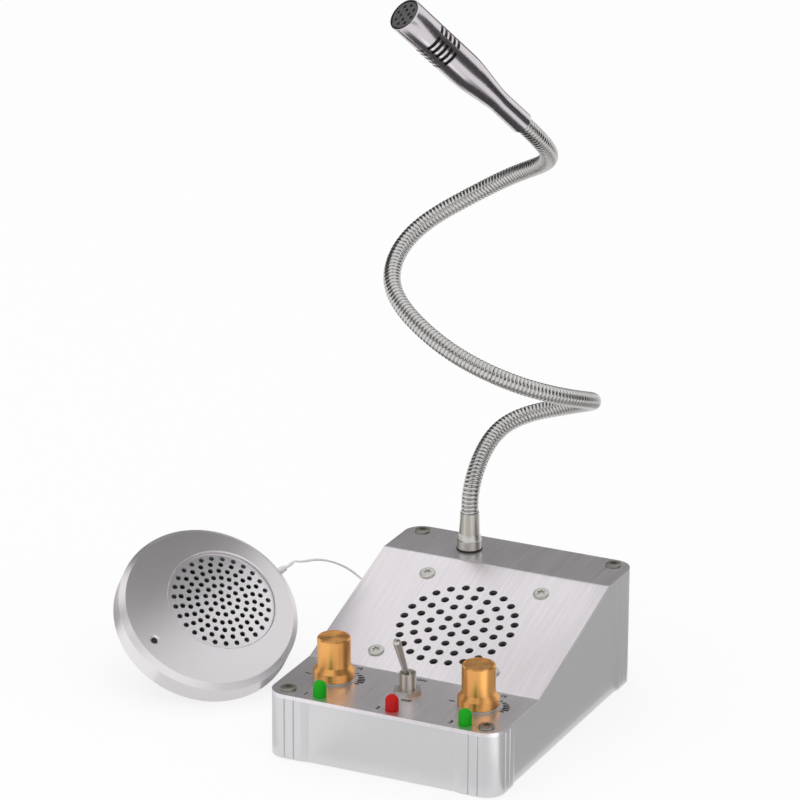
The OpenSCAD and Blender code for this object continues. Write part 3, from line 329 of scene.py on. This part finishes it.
cards = {  # grey boards round the object, that only its metal shows: middle, way they face, size and level
    "backCard": {"at": (-0.75, 1.41, 0.53), "face": (0.44, -0.83, -0.30), "size": (2.0, 1.02), "level": 0.13},
    "puckCard": {"at": (-0.152, 0.011, 0.148), "face": (-0.39, -0.14, -0.91), "size": (0.115, 0.125), "turn": 27,
                 "level": 0.13},
    "rightFloorCard": {"at": (0.162, 0.11, 0.0003), "face": (0, 0, 1), "size": (0.20, 0.36),
                       "level": 0.44},
    "frontFloorCard": {"at": (0.045, -0.145, 0.0003), "face": (0, 0, 1), "size": (0.17, 0.11),
                       "level": 0.78},
    "leftFloorCard": {"at": (-0.105, -0.040, 0.0003), "face": (0, 0, 1), "size": (0.08, 0.10), "level": 0.75},
    "cornerFloorCard": {"at": (0.15, -0.118, 0.0005), "face": (0, 0, 1), "size": (0.10, 0.085), "level": 1.5},
    "plateCard": {"at": (0.052, -0.034, 0.150), "face": (0, 0, -1), "size": (0.085, 0.20), "turn": 30.7,
                  "level": 0.07},
    "puckFloorCard": {"at": (-0.185, 0.055, 0.0003), "face": (0, 0, 1), "size": (0.22, 0.14), "level": 0.10},
    "micCard": {"at": (0.63, 0.21, 0.30), "face": (-0.95, -0.31, 0), "size": (0.50, 0.60), "level": 0.08},
    "lowMicCard": {"at": (-0.006, 0.004, 0.245), "face": (0, 0, 1), "size": (0.056, 0.120), "turn": -30.7,
                   "level": 0.07},
    "lowSideCard": {"at": (0.505, 0.44, 0.15), "face": (-0.755, -0.656, 0), "size": (0.24, 0.36), "level": 0.06},
    "knobCard": {"at": (0.098, -0.119, 0.285), "face": (-0.35, 0.24, -0.91), "size": (0.08, 0.24), "level": 0.05},
    "leftWallCard": {"at": (-0.80, 0.0, 0.68), "face": (1, 0, -0.25), "size": (1.2, 0.95), "level": 0.05},
    "frontWallCard": {"at": (0.05, -1.40, 1.0), "face": (0, 1, -0.5), "size": (2.0, 0.60), "level": 0.08},
    "puckGlowCard": {"at": (-0.285, -0.042, 0.168), "face": (0.72, 0.14, -0.68), "size": (0.13, 0.13),
                     "level": 1.0},
}
for name, card in cards.items():
    bm = bmesh.new()
    bmesh.ops.create_grid(bm, x_segments=1, y_segments=1, size=0.5)
    aim = Vector(card["face"]).normalized().to_track_quat("Z", "Y").to_matrix().to_4x4()
    bmesh.ops.transform(bm, verts=bm.verts, matrix=Matrix.Translation(card["at"]) @ aim
                        @ Matrix.Rotation(math.radians(card.get("turn", 0)), 4, "Z")
                        @ Matrix.Diagonal((*card["size"], 1, 1)))
    piece = linkMesh(name, meshFrom(name, bm))
    cardMaterial, tree, shader = newMaterial(name)
    glow = tree.nodes.new("ShaderNodeEmission")
    glow.inputs["Color"].default_value = (card["level"], card["level"], card["level"], 1)
    behind = tree.nodes.new("ShaderNodeNewGeometry")
    clear = tree.nodes.new("ShaderNodeBsdfTransparent")
    oneSided = tree.nodes.new("ShaderNodeMixShader")
    tree.links.new(behind.outputs["Backfacing"], oneSided.inputs["Fac"])
    tree.links.new(glow.outputs["Emission"], oneSided.inputs[1])
    tree.links.new(clear.outputs["BSDF"], oneSided.inputs[2])
    tree.links.new(oneSided.outputs["Shader"], tree.nodes["Material Output"].inputs["Surface"])
    tree.nodes.remove(shader)
    piece.data.materials.append(cardMaterial)
    piece.visible_camera = piece.visible_diffuse = piece.visible_shadow = piece.visible_transmission = False
print("floor, world,", len(lamps), "lamps and", len(cards), "cards")


# ---- material effects shared by the finishes

grain = {"fineDetail": 3, "broadScale": 28, "broadDetail": 2, "depth": 0.0001}


def workedSurface():  # grain or brush lines: colour, roughness and normal that change over the surface
    group = bpy.data.node_groups.new("workedSurface", "ShaderNodeTree")
    sockets = group.interface
    colour = sockets.new_socket("Colour", in_out="INPUT", socket_type="NodeSocketColor")
    colour.default_value = (0.5, 0.5, 0.5, 1)
    for name, value in (("Shade", 0.1), ("Roughness", 0.4), ("Roughness Change", 0.1), ("Relief", 0.1),
                        ("Blotch", 0.05)):
        sockets.new_socket(name, in_out="INPUT", socket_type="NodeSocketFloat").default_value = value
    sockets.new_socket("Stretch", in_out="INPUT", socket_type="NodeSocketVector").default_value = (500, 500, 500)
    sockets.new_socket("Colour", in_out="OUTPUT", socket_type="NodeSocketColor")
    sockets.new_socket("Roughness", in_out="OUTPUT", socket_type="NodeSocketFloat")
    sockets.new_socket("Normal", in_out="OUTPUT", socket_type="NodeSocketVector")
    new, link = group.nodes.new, group.links.new
    inner, outer = new("NodeGroupInput"), new("NodeGroupOutput")
    coords = new("ShaderNodeTexCoord")
    scaled = new("ShaderNodeVectorMath")
    scaled.operation = "MULTIPLY"
    link(coords.outputs["Object"], scaled.inputs[0])
    link(inner.outputs["Stretch"], scaled.inputs[1])
    fine = new("ShaderNodeTexNoise")
    fine.inputs["Scale"].default_value = 1
    fine.inputs["Detail"].default_value = grain["fineDetail"]
    link(scaled.outputs["Vector"], fine.inputs["Vector"])
    broad = new("ShaderNodeTexNoise")
    broad.inputs["Scale"].default_value = grain["broadScale"]
    broad.inputs["Detail"].default_value = grain["broadDetail"]
    link(coords.outputs["Object"], broad.inputs["Vector"])

    def centred(source, amount, base):  # base + amount*(source - 0.5)
        less = new("ShaderNodeMath")
        less.operation = "SUBTRACT"
        less.inputs[1].default_value = 0.5
        link(source, less.inputs[0])
        total = new("ShaderNodeMath")
        total.operation = "MULTIPLY_ADD"
        link(less.outputs[0], total.inputs[0])
        link(amount, total.inputs[1])
        if isinstance(base, float):
            total.inputs[2].default_value = base
        else:
            link(base, total.inputs[2])
        return total.outputs[0]

    shade = centred(fine.outputs["Fac"], inner.outputs["Shade"], 1.0)
    shade = centred(broad.outputs["Fac"], inner.outputs["Blotch"], shade)
    tint = new("ShaderNodeVectorMath")
    tint.operation = "SCALE"
    link(inner.outputs["Colour"], tint.inputs[0])
    link(shade, tint.inputs["Scale"])
    rough = centred(fine.outputs["Fac"], inner.outputs["Roughness Change"], inner.outputs["Roughness"])
    rough = centred(broad.outputs["Fac"], inner.outputs["Blotch"], rough)
    relief = new("ShaderNodeMath")
    relief.operation = "MULTIPLY"
    link(fine.outputs["Fac"], relief.inputs[0])
    link(inner.outputs["Relief"], relief.inputs[1])
    bump = new("ShaderNodeBump")
    bump.inputs["Strength"].default_value = 1
    bump.inputs["Distance"].default_value = grain["depth"]
    link(relief.outputs[0], bump.inputs["Height"])
    link(tint.outputs["Vector"], outer.inputs["Colour"])
    link(rough, outer.inputs["Roughness"])
    link(bump.outputs["Normal"], outer.inputs["Normal"])
    return group


surface = workedSurface()


def finish(name, spec):
    material, tree, shader = newMaterial(name)
    group = tree.nodes.new("ShaderNodeGroup")
    group.node_tree = surface
    group.inputs["Colour"].default_value = (*spec["colour"], 1)
    group.inputs["Shade"].default_value = spec.get("shade", 0.1)
    group.inputs["Roughness"].default_value = spec["rough"]
    group.inputs["Roughness Change"].default_value = spec.get("roughChange", 0.1)
    group.inputs["Relief"].default_value = spec.get("relief", 0.1)
    group.inputs["Blotch"].default_value = spec.get("blotch", 0.04)
    group.inputs["Stretch"].default_value = spec.get("stretch", (900, 900, 900))
    tree.links.new(group.outputs["Colour"], shader.inputs["Base Color"])
    tree.links.new(group.outputs["Roughness"], shader.inputs["Roughness"])
    tree.links.new(group.outputs["Normal"], shader.inputs["Normal"])
    shader.inputs["Metallic"].default_value = spec.get("metal", 0)
    shader.inputs["Coat Weight"].default_value = spec.get("coat", 0)
    shader.inputs["Coat Roughness"].default_value = spec.get("coatRough", 0.1)
    shader.inputs["Specular IOR Level"].default_value = spec.get("shine", 0.5)
    if "glow" in spec:
        shader.inputs["Emission Color"].default_value = (*spec["colour"], 1)
        shader.inputs["Emission Strength"].default_value = spec["glow"]
    return material, tree, shader, group


finishes = {
    "anodised_walls": {"colour": (0.68, 0.68, 0.69), "metal": 0.75, "rough": 0.34, "stretch": (1400, 1400, 25),
                       "shade": 0.03, "relief": 0.03, "roughChange": 0.04},
    "brushed_plate": {"colour": (0.81, 0.775, 0.80), "metal": 0.92, "rough": 0.30, "stretch": (1900, 24, 24),
                      "shade": 0.42, "relief": 0.10, "roughChange": 0.10, "blotch": 0.02},
    "dark_sheet": {"colour": (0.12, 0.12, 0.13), "metal": 0.3, "rough": 0.55, "relief": 0.2},
    "black_rubber": {"colour": (0.03, 0.03, 0.03), "rough": 0.75, "relief": 0.3},
    "dark_screw": {"colour": (0.30, 0.285, 0.25), "metal": 0.85, "rough": 0.36, "stretch": (2500, 2500, 2500),
                   "relief": 0.10},
    "bright_screw": {"colour": (0.60, 0.59, 0.55), "metal": 0.7, "rough": 0.38, "stretch": (2500, 2500, 2500),
                     "relief": 0.10},
    "black_cloth": {"colour": (0.008, 0.008, 0.008), "rough": 0.95, "stretch": (3000, 3000, 3000), "relief": 0.8},
    "black_paper": {"colour": (0.02, 0.02, 0.022), "rough": 0.8, "relief": 0.3},
    "magnet_steel": {"colour": (0.40, 0.40, 0.42), "metal": 0.9, "rough": 0.4},
    "green_board": {"colour": (0.03, 0.20, 0.09), "rough": 0.4, "coat": 0.4, "blotch": 0.2},
    "black_parts": {"colour": (0.03, 0.03, 0.035), "rough": 0.5},
    "sink_black": {"colour": (0.04, 0.04, 0.045), "metal": 0.4, "rough": 0.45},
    "brass": {"colour": (0.72, 0.56, 0.28), "metal": 1, "rough": 0.3},
    "orange_anodised": {"colour": (0.92, 0.46, 0.145), "metal": 1, "rough": 0.33, "stretch": (60, 60, 2600),
                        "shade": 0.05, "relief": 0.05, "roughChange": 0.05},
    "chrome": {"colour": (0.62, 0.61, 0.57), "metal": 1, "rough": 0.32, "stretch": (700, 700, 700), "relief": 0.03},
    "green_lamp": {"colour": (0.003, 0.30, 0.003), "rough": 0.55, "shine": 0.25, "glow": 0.12,
                   "stretch": (400, 400, 400), "shade": 0.15},
    "red_lamp": {"colour": (0.42, 0.002, 0.003), "rough": 0.55, "shine": 0.25, "glow": 0.12,
                 "stretch": (400, 400, 400), "shade": 0.15},
    "neck_chrome": {"colour": (0.66, 0.65, 0.64), "metal": 1, "rough": 0.23, "stretch": (1200, 1200, 1200)},
    "mic_chrome": {"colour": (0.66, 0.62, 0.65), "metal": 1, "rough": 0.20, "stretch": (600, 600, 600),
                   "relief": 0.02},
    "mic_gold": {"colour": (0.74, 0.66, 0.46), "metal": 1, "rough": 0.35},
    "silver_paint": {"colour": (0.82, 0.79, 0.81), "metal": 0.9, "rough": 0.34, "stretch": (1800, 1800, 1800),
                     "shade": 0.05, "relief": 0.05},
    "grille_silver": {"colour": (0.86, 0.84, 0.86), "metal": 0.85, "rough": 0.36, "stretch": (1800, 1800, 1800),
                      "shade": 0.05},
    "black_plastic": {"colour": (0.025, 0.025, 0.027), "rough": 0.5, "relief": 0.25},
    "foam_tape": {"colour": (0.06, 0.06, 0.06), "rough": 0.85, "relief": 0.6},
    "dark_end": {"colour": (0.27, 0.265, 0.27), "metal": 0.8, "rough": 0.45},
    "clear_cord": {"colour": (0.72, 0.71, 0.69), "rough": 0.30, "coat": 0.4, "stretch": (900, 900, 900),
                   "shade": 0.2},
}
materials = {name: finish(name, spec)[0] for name, spec in finishes.items()}
for part in frame["record"]["subparts"]:
    mesh = nodes[part["node"]].data
    mesh.materials.clear()
    mesh.materials.append(materials[part["material_slot"]])
flex.data.materials.append(materials["clear_cord"])
for node, look in (("mic_grille", "dark_end"), ("outer_gland", "clear_cord")):
    nodes[node].data.materials.clear()
    nodes[node].data.materials.append(materials[look])
print("finishes:", len(materials))


# ---- knobs: spun rings on their tops, in the material, and the pale seat below each skirt

knobs = {
    "inside_knob": (-0.0376, -0.053336), "outside_knob": (0.0376, -0.053336), "ringSpacing": 0.0004,
    "ringDepth": 0.00006, "ringWobble": 0.4, "topFacing": 0.98, "seatSteps": 64, "sharpAngle": 35,
    "seat": [(7.6, 33.03), (9.7, 33.03), (9.9, 33.2), (9.9, 33.6), (9.7, 33.8), (7.6, 33.8)],  # radius, height
}


def spunCopper(name, middle):
    material, tree, shader, group = finish(name, finishes["orange_anodised"])
    coords = tree.nodes.new("ShaderNodeTexCoord")
    centre = tree.nodes.new("ShaderNodeMapping")
    centre.inputs["Location"].default_value = (-middle[0], -middle[1], 0)
    rings = tree.nodes.new("ShaderNodeTexWave")
    rings.wave_type = "RINGS"
    rings.rings_direction = "Z"
    rings.inputs["Scale"].default_value = math.tau/20/knobs["ringSpacing"]  # its phase is 20 times the distance
    rings.inputs["Distortion"].default_value = knobs["ringWobble"]
    faces = tree.nodes.new("ShaderNodeSeparateXYZ")
    upward = tree.nodes.new("ShaderNodeMath")  # 1 on the top disc only
    upward.operation = "GREATER_THAN"
    upward.inputs[1].default_value = knobs["topFacing"]
    height = tree.nodes.new("ShaderNodeMath")
    height.operation = "MULTIPLY"
    bump = tree.nodes.new("ShaderNodeBump")
    bump.inputs["Strength"].default_value = 1
    bump.inputs["Distance"].default_value = knobs["ringDepth"]
    tree.links.new(coords.outputs["Object"], centre.inputs["Vector"])
    tree.links.new(centre.outputs["Vector"], rings.inputs["Vector"])
    tree.links.new(coords.outputs["Normal"], faces.inputs["Vector"])
    tree.links.new(faces.outputs["Z"], upward.inputs[0])
    tree.links.new(rings.outputs["Fac"], height.inputs[0])
    tree.links.new(upward.outputs[0], height.inputs[1])
    tree.links.new(height.outputs[0], bump.inputs["Height"])
    tree.links.new(group.outputs["Normal"], bump.inputs["Normal"])
    tree.links.new(bump.outputs["Normal"], shader.inputs["Normal"])
    return material


seatBm = bmesh.new()
for node in ("inside_knob", "outside_knob"):
    middle = knobs[node]
    nodes[node].data.materials.clear()
    nodes[node].data.materials.append(spunCopper(node + "Copper", middle))
    ring = turned([(r/1000, z/1000) for r, z in knobs["seat"] + knobs["seat"][:1]], knobs["seatSteps"])
    bmesh.ops.translate(ring, verts=ring.verts, vec=(*middle, 0))
    ringMesh = meshFrom("knobSeat", ring)
    seatBm.from_mesh(ringMesh)
bmesh.ops.recalc_face_normals(seatBm, faces=seatBm.faces)
seats = linkMesh("knobSeats", meshFrom("knobSeats", seatBm))
seats.data.set_sharp_from_angle(angle=math.radians(knobs["sharpAngle"]))
seats.data.materials.append(materials["bright_screw"])
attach(seats, "desk_unit")
print("knobs dressed")


# ---- gooseneck: wound in one helix, in four pieces that each hold one joint's bend place

gooseneck = {
    "length": 0.422, "foot": (-0.021, 0.0635365, 0.0795), "pitch": 0.0019, "sides": 24, "rowsPerTurn": 6,
    "knots": [(0, 0, 0), (0, 0, 0.0355), (-0.0024, 0.0711, 0.0877), (0.0592, 0.1114, 0.1019), (0.128, 0.0877, 0.128),
              (0.128, 0.019, 0.1517), (0.0853, -0.0355, 0.1754), (0.0166, -0.0569, 0.2038),
              (-0.0498, -0.045, 0.2346), (-0.1066, -0.0142, 0.2701), (-0.1019, 0.045, 0.3152),
              (-0.0498, 0.0877, 0.3483), (0.0142, 0.0948, 0.3886), (0.0782, 0.0569, 0.4194),
              (0.0877, -0.0071, 0.4621), (0.0735, -0.0308, 0.4882)],
    "wire": [3.98, 4.17, 4.27, 4.30, 4.27, 4.17],  # radius in mm at each row of a turn
    "points": 1500, "spare": 0.0095, "sparePoints": 4, "bendHalf": 0.010, "firstSide": (0.8, 0.6, 0),
    # painted shade: the colour the wire is darkened to at the bottom of the grooves between its turns
    "grooveShadeColour": (0.30, 0.295, 0.29, 1),
}
neckLine = curveLine([Vector(k)*gooseneck["length"] + Vector(gooseneck["foot"]) for k in gooseneck["knots"]],
                     gooseneck["points"])
neckTop = neckLine[-1]
firstWay = (neckLine[1] - neckLine[0]).normalized()
lastWay = (neckLine[-1] - neckLine[-2]).normalized()
spare, sparePoints = gooseneck["spare"], gooseneck["sparePoints"]
neckLine = ([neckLine[0] - firstWay*spare*(sparePoints - i)/sparePoints for i in range(sparePoints)] + neckLine
            + [neckLine[-1] + lastWay*spare*(i + 1)/sparePoints for i in range(sparePoints)])
neckAt = [0.0]
for a, b in zip(neckLine, neckLine[1:]):
    neckAt.append(neckAt[-1] + (b - a).length)
neckFrames = []  # way along, side and across at each point, turned as little as possible
side = Vector(gooseneck["firstSide"])
for i, point in enumerate(neckLine):
    way = (neckLine[min(i + 1, len(neckLine) - 1)] - neckLine[max(i - 1, 0)]).normalized()
    side = (side - side.dot(way)*way).normalized()
    neckFrames.append((way, side.copy(), way.cross(side)))


def onNeck(distance, x, y):  # point beside the neck's line, distance along it
    i = min(max(int(distance/neckAt[-1]*(len(neckAt) - 1)), 0), len(neckAt) - 2)
    while neckAt[i] > distance and i > 0:
        i -= 1
    while neckAt[i + 1] < distance and i < len(neckAt) - 2:
        i += 1
    t = (distance - neckAt[i])/(neckAt[i + 1] - neckAt[i])
    point = neckLine[i].lerp(neckLine[i + 1], t)
    sideAt = neckFrames[i][1].lerp(neckFrames[i + 1][1], t)
    acrossAt = neckFrames[i][2].lerp(neckFrames[i + 1][2], t)
    return point + x*sideAt + y*acrossAt


def neckDistance(target):
    return neckAt[min(range(len(neckLine)), key=lambda i: (neckLine[i] - Vector(target)).length)]


def woundPiece(name, firstTurn, lastTurn):
    spec = gooseneck
    step = spec["pitch"]/spec["rowsPerTurn"]
    rows = (lastTurn - firstTurn)*spec["rowsPerTurn"]
    bm = bmesh.new()
    column = [bm.verts.new((spec["wire"][i % spec["rowsPerTurn"]]/1000, 0, i*step)) for i in range(rows + 1)]
    edges = [bm.edges.new(pair) for pair in zip(column, column[1:])]
    bmesh.ops.spin(bm, geom=column + edges, cent=(0, 0, 0), axis=(0, 0, 1), angle=math.tau,
                   dvec=(0, 0, spec["pitch"]/spec["sides"]), steps=spec["sides"], use_merge=False)
    bmesh.ops.remove_doubles(bm, verts=bm.verts, dist=1e-6)
    bmesh.ops.holes_fill(bm, edges=[e for e in bm.edges if e.is_boundary], sides=0)
    bmesh.ops.recalc_face_normals(bm, faces=bm.faces)
    depth = bm.verts.layers.float.new("ringDepth")
    deepest, crest = min(spec["wire"])/1000, max(spec["wire"])/1000
    for vert in bm.verts:
        vert[depth] = (crest - math.hypot(vert.co.x, vert.co.y))/(crest - deepest)
    start = firstTurn*spec["pitch"]
    for vert in bm.verts:
        vert.co = onNeck(start + vert.co.z, vert.co.x, vert.co.y)
    return linkMesh(name, meshFrom(name, bm))


neckMaterial, tree, shader, group = finish("woundSteel", finishes["neck_chrome"])
# painted shade: the wound steel's colour darkens towards the grooves between the wire turns, by their depth
depthNode = tree.nodes.new("ShaderNodeAttribute")
depthNode.attribute_name = "ringDepth"
grooveShadeTint = tree.nodes.new("ShaderNodeMix")
grooveShadeTint.data_type = "RGBA"
grooveShadeTint.inputs["B"].default_value = gooseneck["grooveShadeColour"]
tree.links.new(depthNode.outputs["Fac"], grooveShadeTint.inputs["Factor"])
tree.links.new(group.outputs["Colour"], grooveShadeTint.inputs["A"])
tree.links.new(grooveShadeTint.outputs["Result"], shader.inputs["Base Color"])

neckJoints = [j for j in frame["joints"] if j["name"] in ("neck_base_bend", "neck_middle_bend", "neck_upper_bend",
                                                         "microphone_tilt")]
bendAt = [neckDistance(j["pos_m"]) for j in neckJoints]
turnsAt = [0] + [round((a + b)/2/gooseneck["pitch"]) for a, b in zip(bendAt, bendAt[1:])]
turnsAt.append(int(neckAt[-1]/gooseneck["pitch"]) - 1)
stands = [("neckFootRun", ["neck_root"]), ("neckFirstRun", ["neck_lower"]), ("neckSecondRun", ["neck_middle"]),
          ("neckThirdRun", ["neck_upper", "neck_tip"])]
for (name, standsFor), joint, bend, first, last in zip(stands, neckJoints, bendAt, turnsAt, turnsAt[1:]):
    run = woundPiece(name, first, last)
    run.data.materials.append(neckMaterial)
    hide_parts(*standsFor)
    half = gooseneck["bendHalf"]
    tuple(onNeck(bend - half, 0, 0))
    tuple(onNeck(bend + half, 0, 0))
    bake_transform(run)
print("gooseneck:", turnsAt[-1], "turns of wire")


# ---- microphone body: spun, slotted in five groups of rows, with its wall solidified inwards

micBody = {
    "profile": [(4.6, 0), (5.1, 0), (5.4, 0.3), (5.4, 18.5), (5.55, 21), (5.8, 23.5), (6.3, 27.2), (6.95, 32.2),
                (7.55, 36.8), (7.92, 39.8), (8.18, 42.5), (8.35, 45.5), (8.4, 48)],  # radius, height in mm
    "end": [(8.4, 91.4), (8.25, 91.8), (7.9, 92.0), (7.4, 92.0)],
    "slotRows": 5, "firstSlot": 60.3, "slotPitch": 3.2, "slotWidth": 1.9, "groups": 5, "span": 56, "wall": 1.2,
    "radius": 8.4, "steps": 90, "sharpAngle": 32,
}


def micMatrix():  # as the source turns it: about Y by the way's fall, then about Z
    return (Matrix.Translation(neckTop) @ Matrix.Rotation(math.atan2(lastWay.y, lastWay.x), 4, "Z")
            @ Matrix.Rotation(math.acos(lastWay.z), 4, "Y"))


def slottedTube(spec):
    profile = list(spec["profile"])
    for i in range(spec["slotRows"]):
        low = spec["firstSlot"] + i*spec["slotPitch"]
        profile += [(spec["radius"], low), (spec["radius"], low + spec["slotWidth"])]
    bm = turned([(r/1000, z/1000) for r, z in profile + spec["end"]], spec["steps"])
    halfGroup = 180/spec["groups"]
    cut = []
    for face in bm.faces:
        middle = face.calc_center_median()
        row = (middle.z*1000 - spec["firstSlot"])/spec["slotPitch"]
        inRow = 0 <= row < spec["slotRows"] and row % 1*spec["slotPitch"] < spec["slotWidth"]
        angle = (math.degrees(math.atan2(middle.y, middle.x)) + halfGroup) % (2*halfGroup) - halfGroup
        if inRow and abs(angle) < spec["span"]/2:
            cut.append(face)
    bmesh.ops.delete(bm, geom=cut, context="FACES")
    bmesh.ops.recalc_face_normals(bm, faces=bm.faces)
    if sum(f.normal.dot(Vector((*f.calc_center_median().xy, 0))) for f in bm.faces) < 0:
        bmesh.ops.reverse_faces(bm, faces=bm.faces)
    bmesh.ops.solidify(bm, geom=bm.faces[:], thickness=spec["wall"]/1000)
    bmesh.ops.recalc_face_normals(bm, faces=bm.faces)
    bmesh.ops.transform(bm, matrix=micMatrix(), verts=bm.verts)
    return bm


microphone = linkMesh("microphoneBody", meshFrom("microphoneBody", slottedTube(micBody)))
microphone.data.set_sharp_from_angle(angle=math.radians(micBody["sharpAngle"]))
microphone.data.materials.append(materials["mic_chrome"])
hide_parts("mic_housing")
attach(microphone, next(j for j in frame["joints"] if j["name"] == "microphone_tilt")["child"])
print("microphone body:", len(microphone.data.polygons), "faces")


# ---- screws with star recesses

starScrew = {"head": 3.9, "face": 2.3, "shank": 1.95, "star": 1.75, "lobe": 0.42, "lobes": 6, "sink": 0.8,
             "drop": 0.02, "taper": 0.94, "steps": 36, "sharpAngle": 35}


def starScrewMesh(name, length, rise):
    spec = starScrew
    head = spec["head"]
    bm = turned([(r/1000, z/1000) for r, z in (
        (0.0, -length), (spec["shank"] - 0.3, -length), (spec["shank"], -length + 0.4), (spec["shank"], 0),
        (head - 0.1, 0), (head, 0.1), (head, rise - 0.5), (head - 0.1, rise - 0.3), (head - 0.4, rise - 0.12),
        (head - 0.9, rise - 0.03), (spec["face"], rise))], spec["steps"])
    rim = [e for e in bm.edges if e.is_boundary and min(v.co.z for v in e.verts) > 0]
    made = bmesh.ops.create_circle(bm, segments=spec["steps"], radius=0.001)
    for vert in made["verts"]:
        angle = math.atan2(vert.co.y, vert.co.x)
        reach = spec["star"] + spec["lobe"]*math.cos(spec["lobes"]*angle)
        vert.co = Vector((math.cos(angle), math.sin(angle), 0))*reach/1000
        vert.co.z = (rise - spec["drop"])/1000
    star = [e for e in bm.edges if all(v in made["verts"] for v in e.verts)]
    bmesh.ops.bridge_loops(bm, edges=rim + star)
    grown = bmesh.ops.extrude_edge_only(bm, edges=star)
    low = [g for g in grown["geom"] if isinstance(g, bmesh.types.BMVert)]
    for vert in low:
        vert.co = Vector((vert.co.x*spec["taper"], vert.co.y*spec["taper"], (rise - spec["sink"])/1000))
    bmesh.ops.holes_fill(bm, edges=[e for e in bm.edges if e.is_boundary], sides=0)
    bmesh.ops.recalc_face_normals(bm, faces=bm.faces)
    mesh = meshFrom(name, bm)
    mesh.set_sharp_from_angle(angle=math.radians(spec["sharpAngle"]))
    return mesh


plate = {"frontBend": -34.04, "rearBend": 48.04, "frontZ": 33.0, "rearZ": 60.0}  # its top face, in mm
screws = {  # lengths in mm; corner places are x, y and turn, speaker places x, way up the slope and turn
    "corner": {"length": 14, "rise": 1.35,
               "places": [(-51.3, -74.24, 0.2), (51.3, -74.24, 0.7), (-51.3, 74.24, 0.4), (51.3, 74.24, 0.9)]},
    "speaker": {"length": 9, "rise": 0.95, "slopeRise": 27.0, "slopeRun": 82.07,
                "places": [(-30.25, 12.15, 0.1), (30.25, 12.15, 0.5), (-30.25, 72.65, 0.3), (30.25, 72.65, 0.8)]},
}


def plateAt(x, y):  # place on the top plate, with Z out of it
    if y < plate["frontBend"]:
        return Matrix.Translation((x/1000, y/1000, plate["frontZ"]/1000))
    if y > plate["rearBend"]:
        return Matrix.Translation((x/1000, y/1000, plate["rearZ"]/1000))
    slope = math.atan2(plate["rearZ"] - plate["frontZ"], plate["rearBend"] - plate["frontBend"])
    z = plate["frontZ"] + (y - plate["frontBend"])*math.tan(slope)
    return Matrix.Translation((x/1000, y/1000, z/1000)) @ Matrix.Rotation(slope, 4, "X")


corner = screws["corner"]
cornerMesh = starScrewMesh("cornerScrew", corner["length"], corner["rise"])
cornerPlaces = [plateAt(x, y) @ Matrix.Rotation(turn, 4, "Z") for x, y, turn in corner["places"]]
cornerScrews = joinMeshes("cornerScrews", cornerMesh, cornerPlaces)
cornerScrews.data.materials.append(materials["dark_screw"])
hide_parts("top_screws")
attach(cornerScrews, "desk_unit")

speaker = screws["speaker"]
slopeAngle = math.atan2(speaker["slopeRise"], speaker["slopeRun"])
speakerMesh = starScrewMesh("speakerScrew", speaker["length"], speaker["rise"])
speakerPlaces = [plateAt(x, plate["frontBend"] + s*math.cos(slopeAngle)) @ Matrix.Rotation(turn, 4, "Z")
                 for x, s, turn in speaker["places"]]
speakerScrews = joinMeshes("speakerPlateScrews", speakerMesh, speakerPlaces)
speakerScrews.data.materials.append(materials["bright_screw"])
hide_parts("speaker_screws")
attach(speakerScrews, "desk_unit")
print("screws set")


# ---- printed marks: scales, lamp numbers and the switch's ends

marks = {
    "thick": 0.00024, "knobs": (-37.6, 37.6), "row": -53.34, "lampRow": -75.14, "lamps": (-34.4, 3.2, 40.8),
    "ticks": [(52, 1.4, 0.6), (40, 2.2, 0.75), (30, 2.8, 0.9), (20.5, 3.2, 0.95), (11.5, 3.4, 1.0), (3, 3.4, 1.0),
              (-6, 2.2, 0.7)],  # angle, length and width
    "tickFrom": 11.6, "startBar": (-13.6, 3.0, 0.5),
    "lampNumber": (4.4, -7.0, -0.6), "scaleEnd": (3.2, 6.0, 15.4),  # size, then right and up from the piece
    "switchOn": (3.2, 1, 15.6), "switchOff": (3.0, 4.5, -9.4),
}
ink = finish("printedInk", {"colour": (0.012, 0.012, 0.014), "rough": 0.9, "shine": 0.1, "shade": 0.3,
                            "stretch": (3000, 3000, 3000)})[0]


def barMark(bm, place, length, width):
    made = bmesh.ops.create_cube(bm, size=1)
    bmesh.ops.transform(bm, matrix=place @ Matrix.Diagonal((length/1000, width/1000, marks["thick"], 1)),
                        verts=made["verts"])


def wordMark(name, word, size, place):
    text = bpy.data.curves.new(name, "FONT")
    text.body = word
    text.size = size/1000
    text.align_x = "CENTER"
    text.align_y = "CENTER"
    text.extrude = marks["thick"]/2
    text.resolution_u = 3
    piece = linkMesh(name, text)
    bpy.context.view_layer.update()
    mesh = bpy.data.meshes.new_from_object(piece.evaluated_get(bpy.context.evaluated_depsgraph_get()))
    bpy.data.objects.remove(piece)
    mesh.transform(place)
    return mesh


def printLine():
    bm = bmesh.new()
    barAt, barLength, barWidth = marks["startBar"]
    for x in marks["knobs"]:
        middle = plateAt(x, marks["row"])
        for angle, length, width in marks["ticks"]:
            barMark(bm, middle @ Matrix.Rotation(math.radians(angle), 4, "Z")
                    @ Matrix.Translation(((marks["tickFrom"] + length/2)/1000, 0, 0)), length, width)
        barMark(bm, middle @ Matrix.Translation((barAt/1000, 0, 0)), barLength, barWidth)
    words = [("lampNumber", str(i + 1), x, marks["lampRow"]) for i, x in enumerate(marks["lamps"])]
    words += [("scaleEnd", "10", x, marks["row"]) for x in marks["knobs"]]
    words += [("switchOn", "ON", 0, marks["row"]), ("switchOff", "OFF", 0, marks["row"])]
    for name, word, x, y in words:
        size, right, up = marks[name]
        bm.from_mesh(wordMark(name, word, size, plateAt(x + right, y + up)))
    return linkMesh("printedMarks", meshFrom("printedMarks", bm, smooth=False))


printed = printLine()
printed.data.materials.append(ink)
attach(printed, "desk_unit")
print("marks printed")
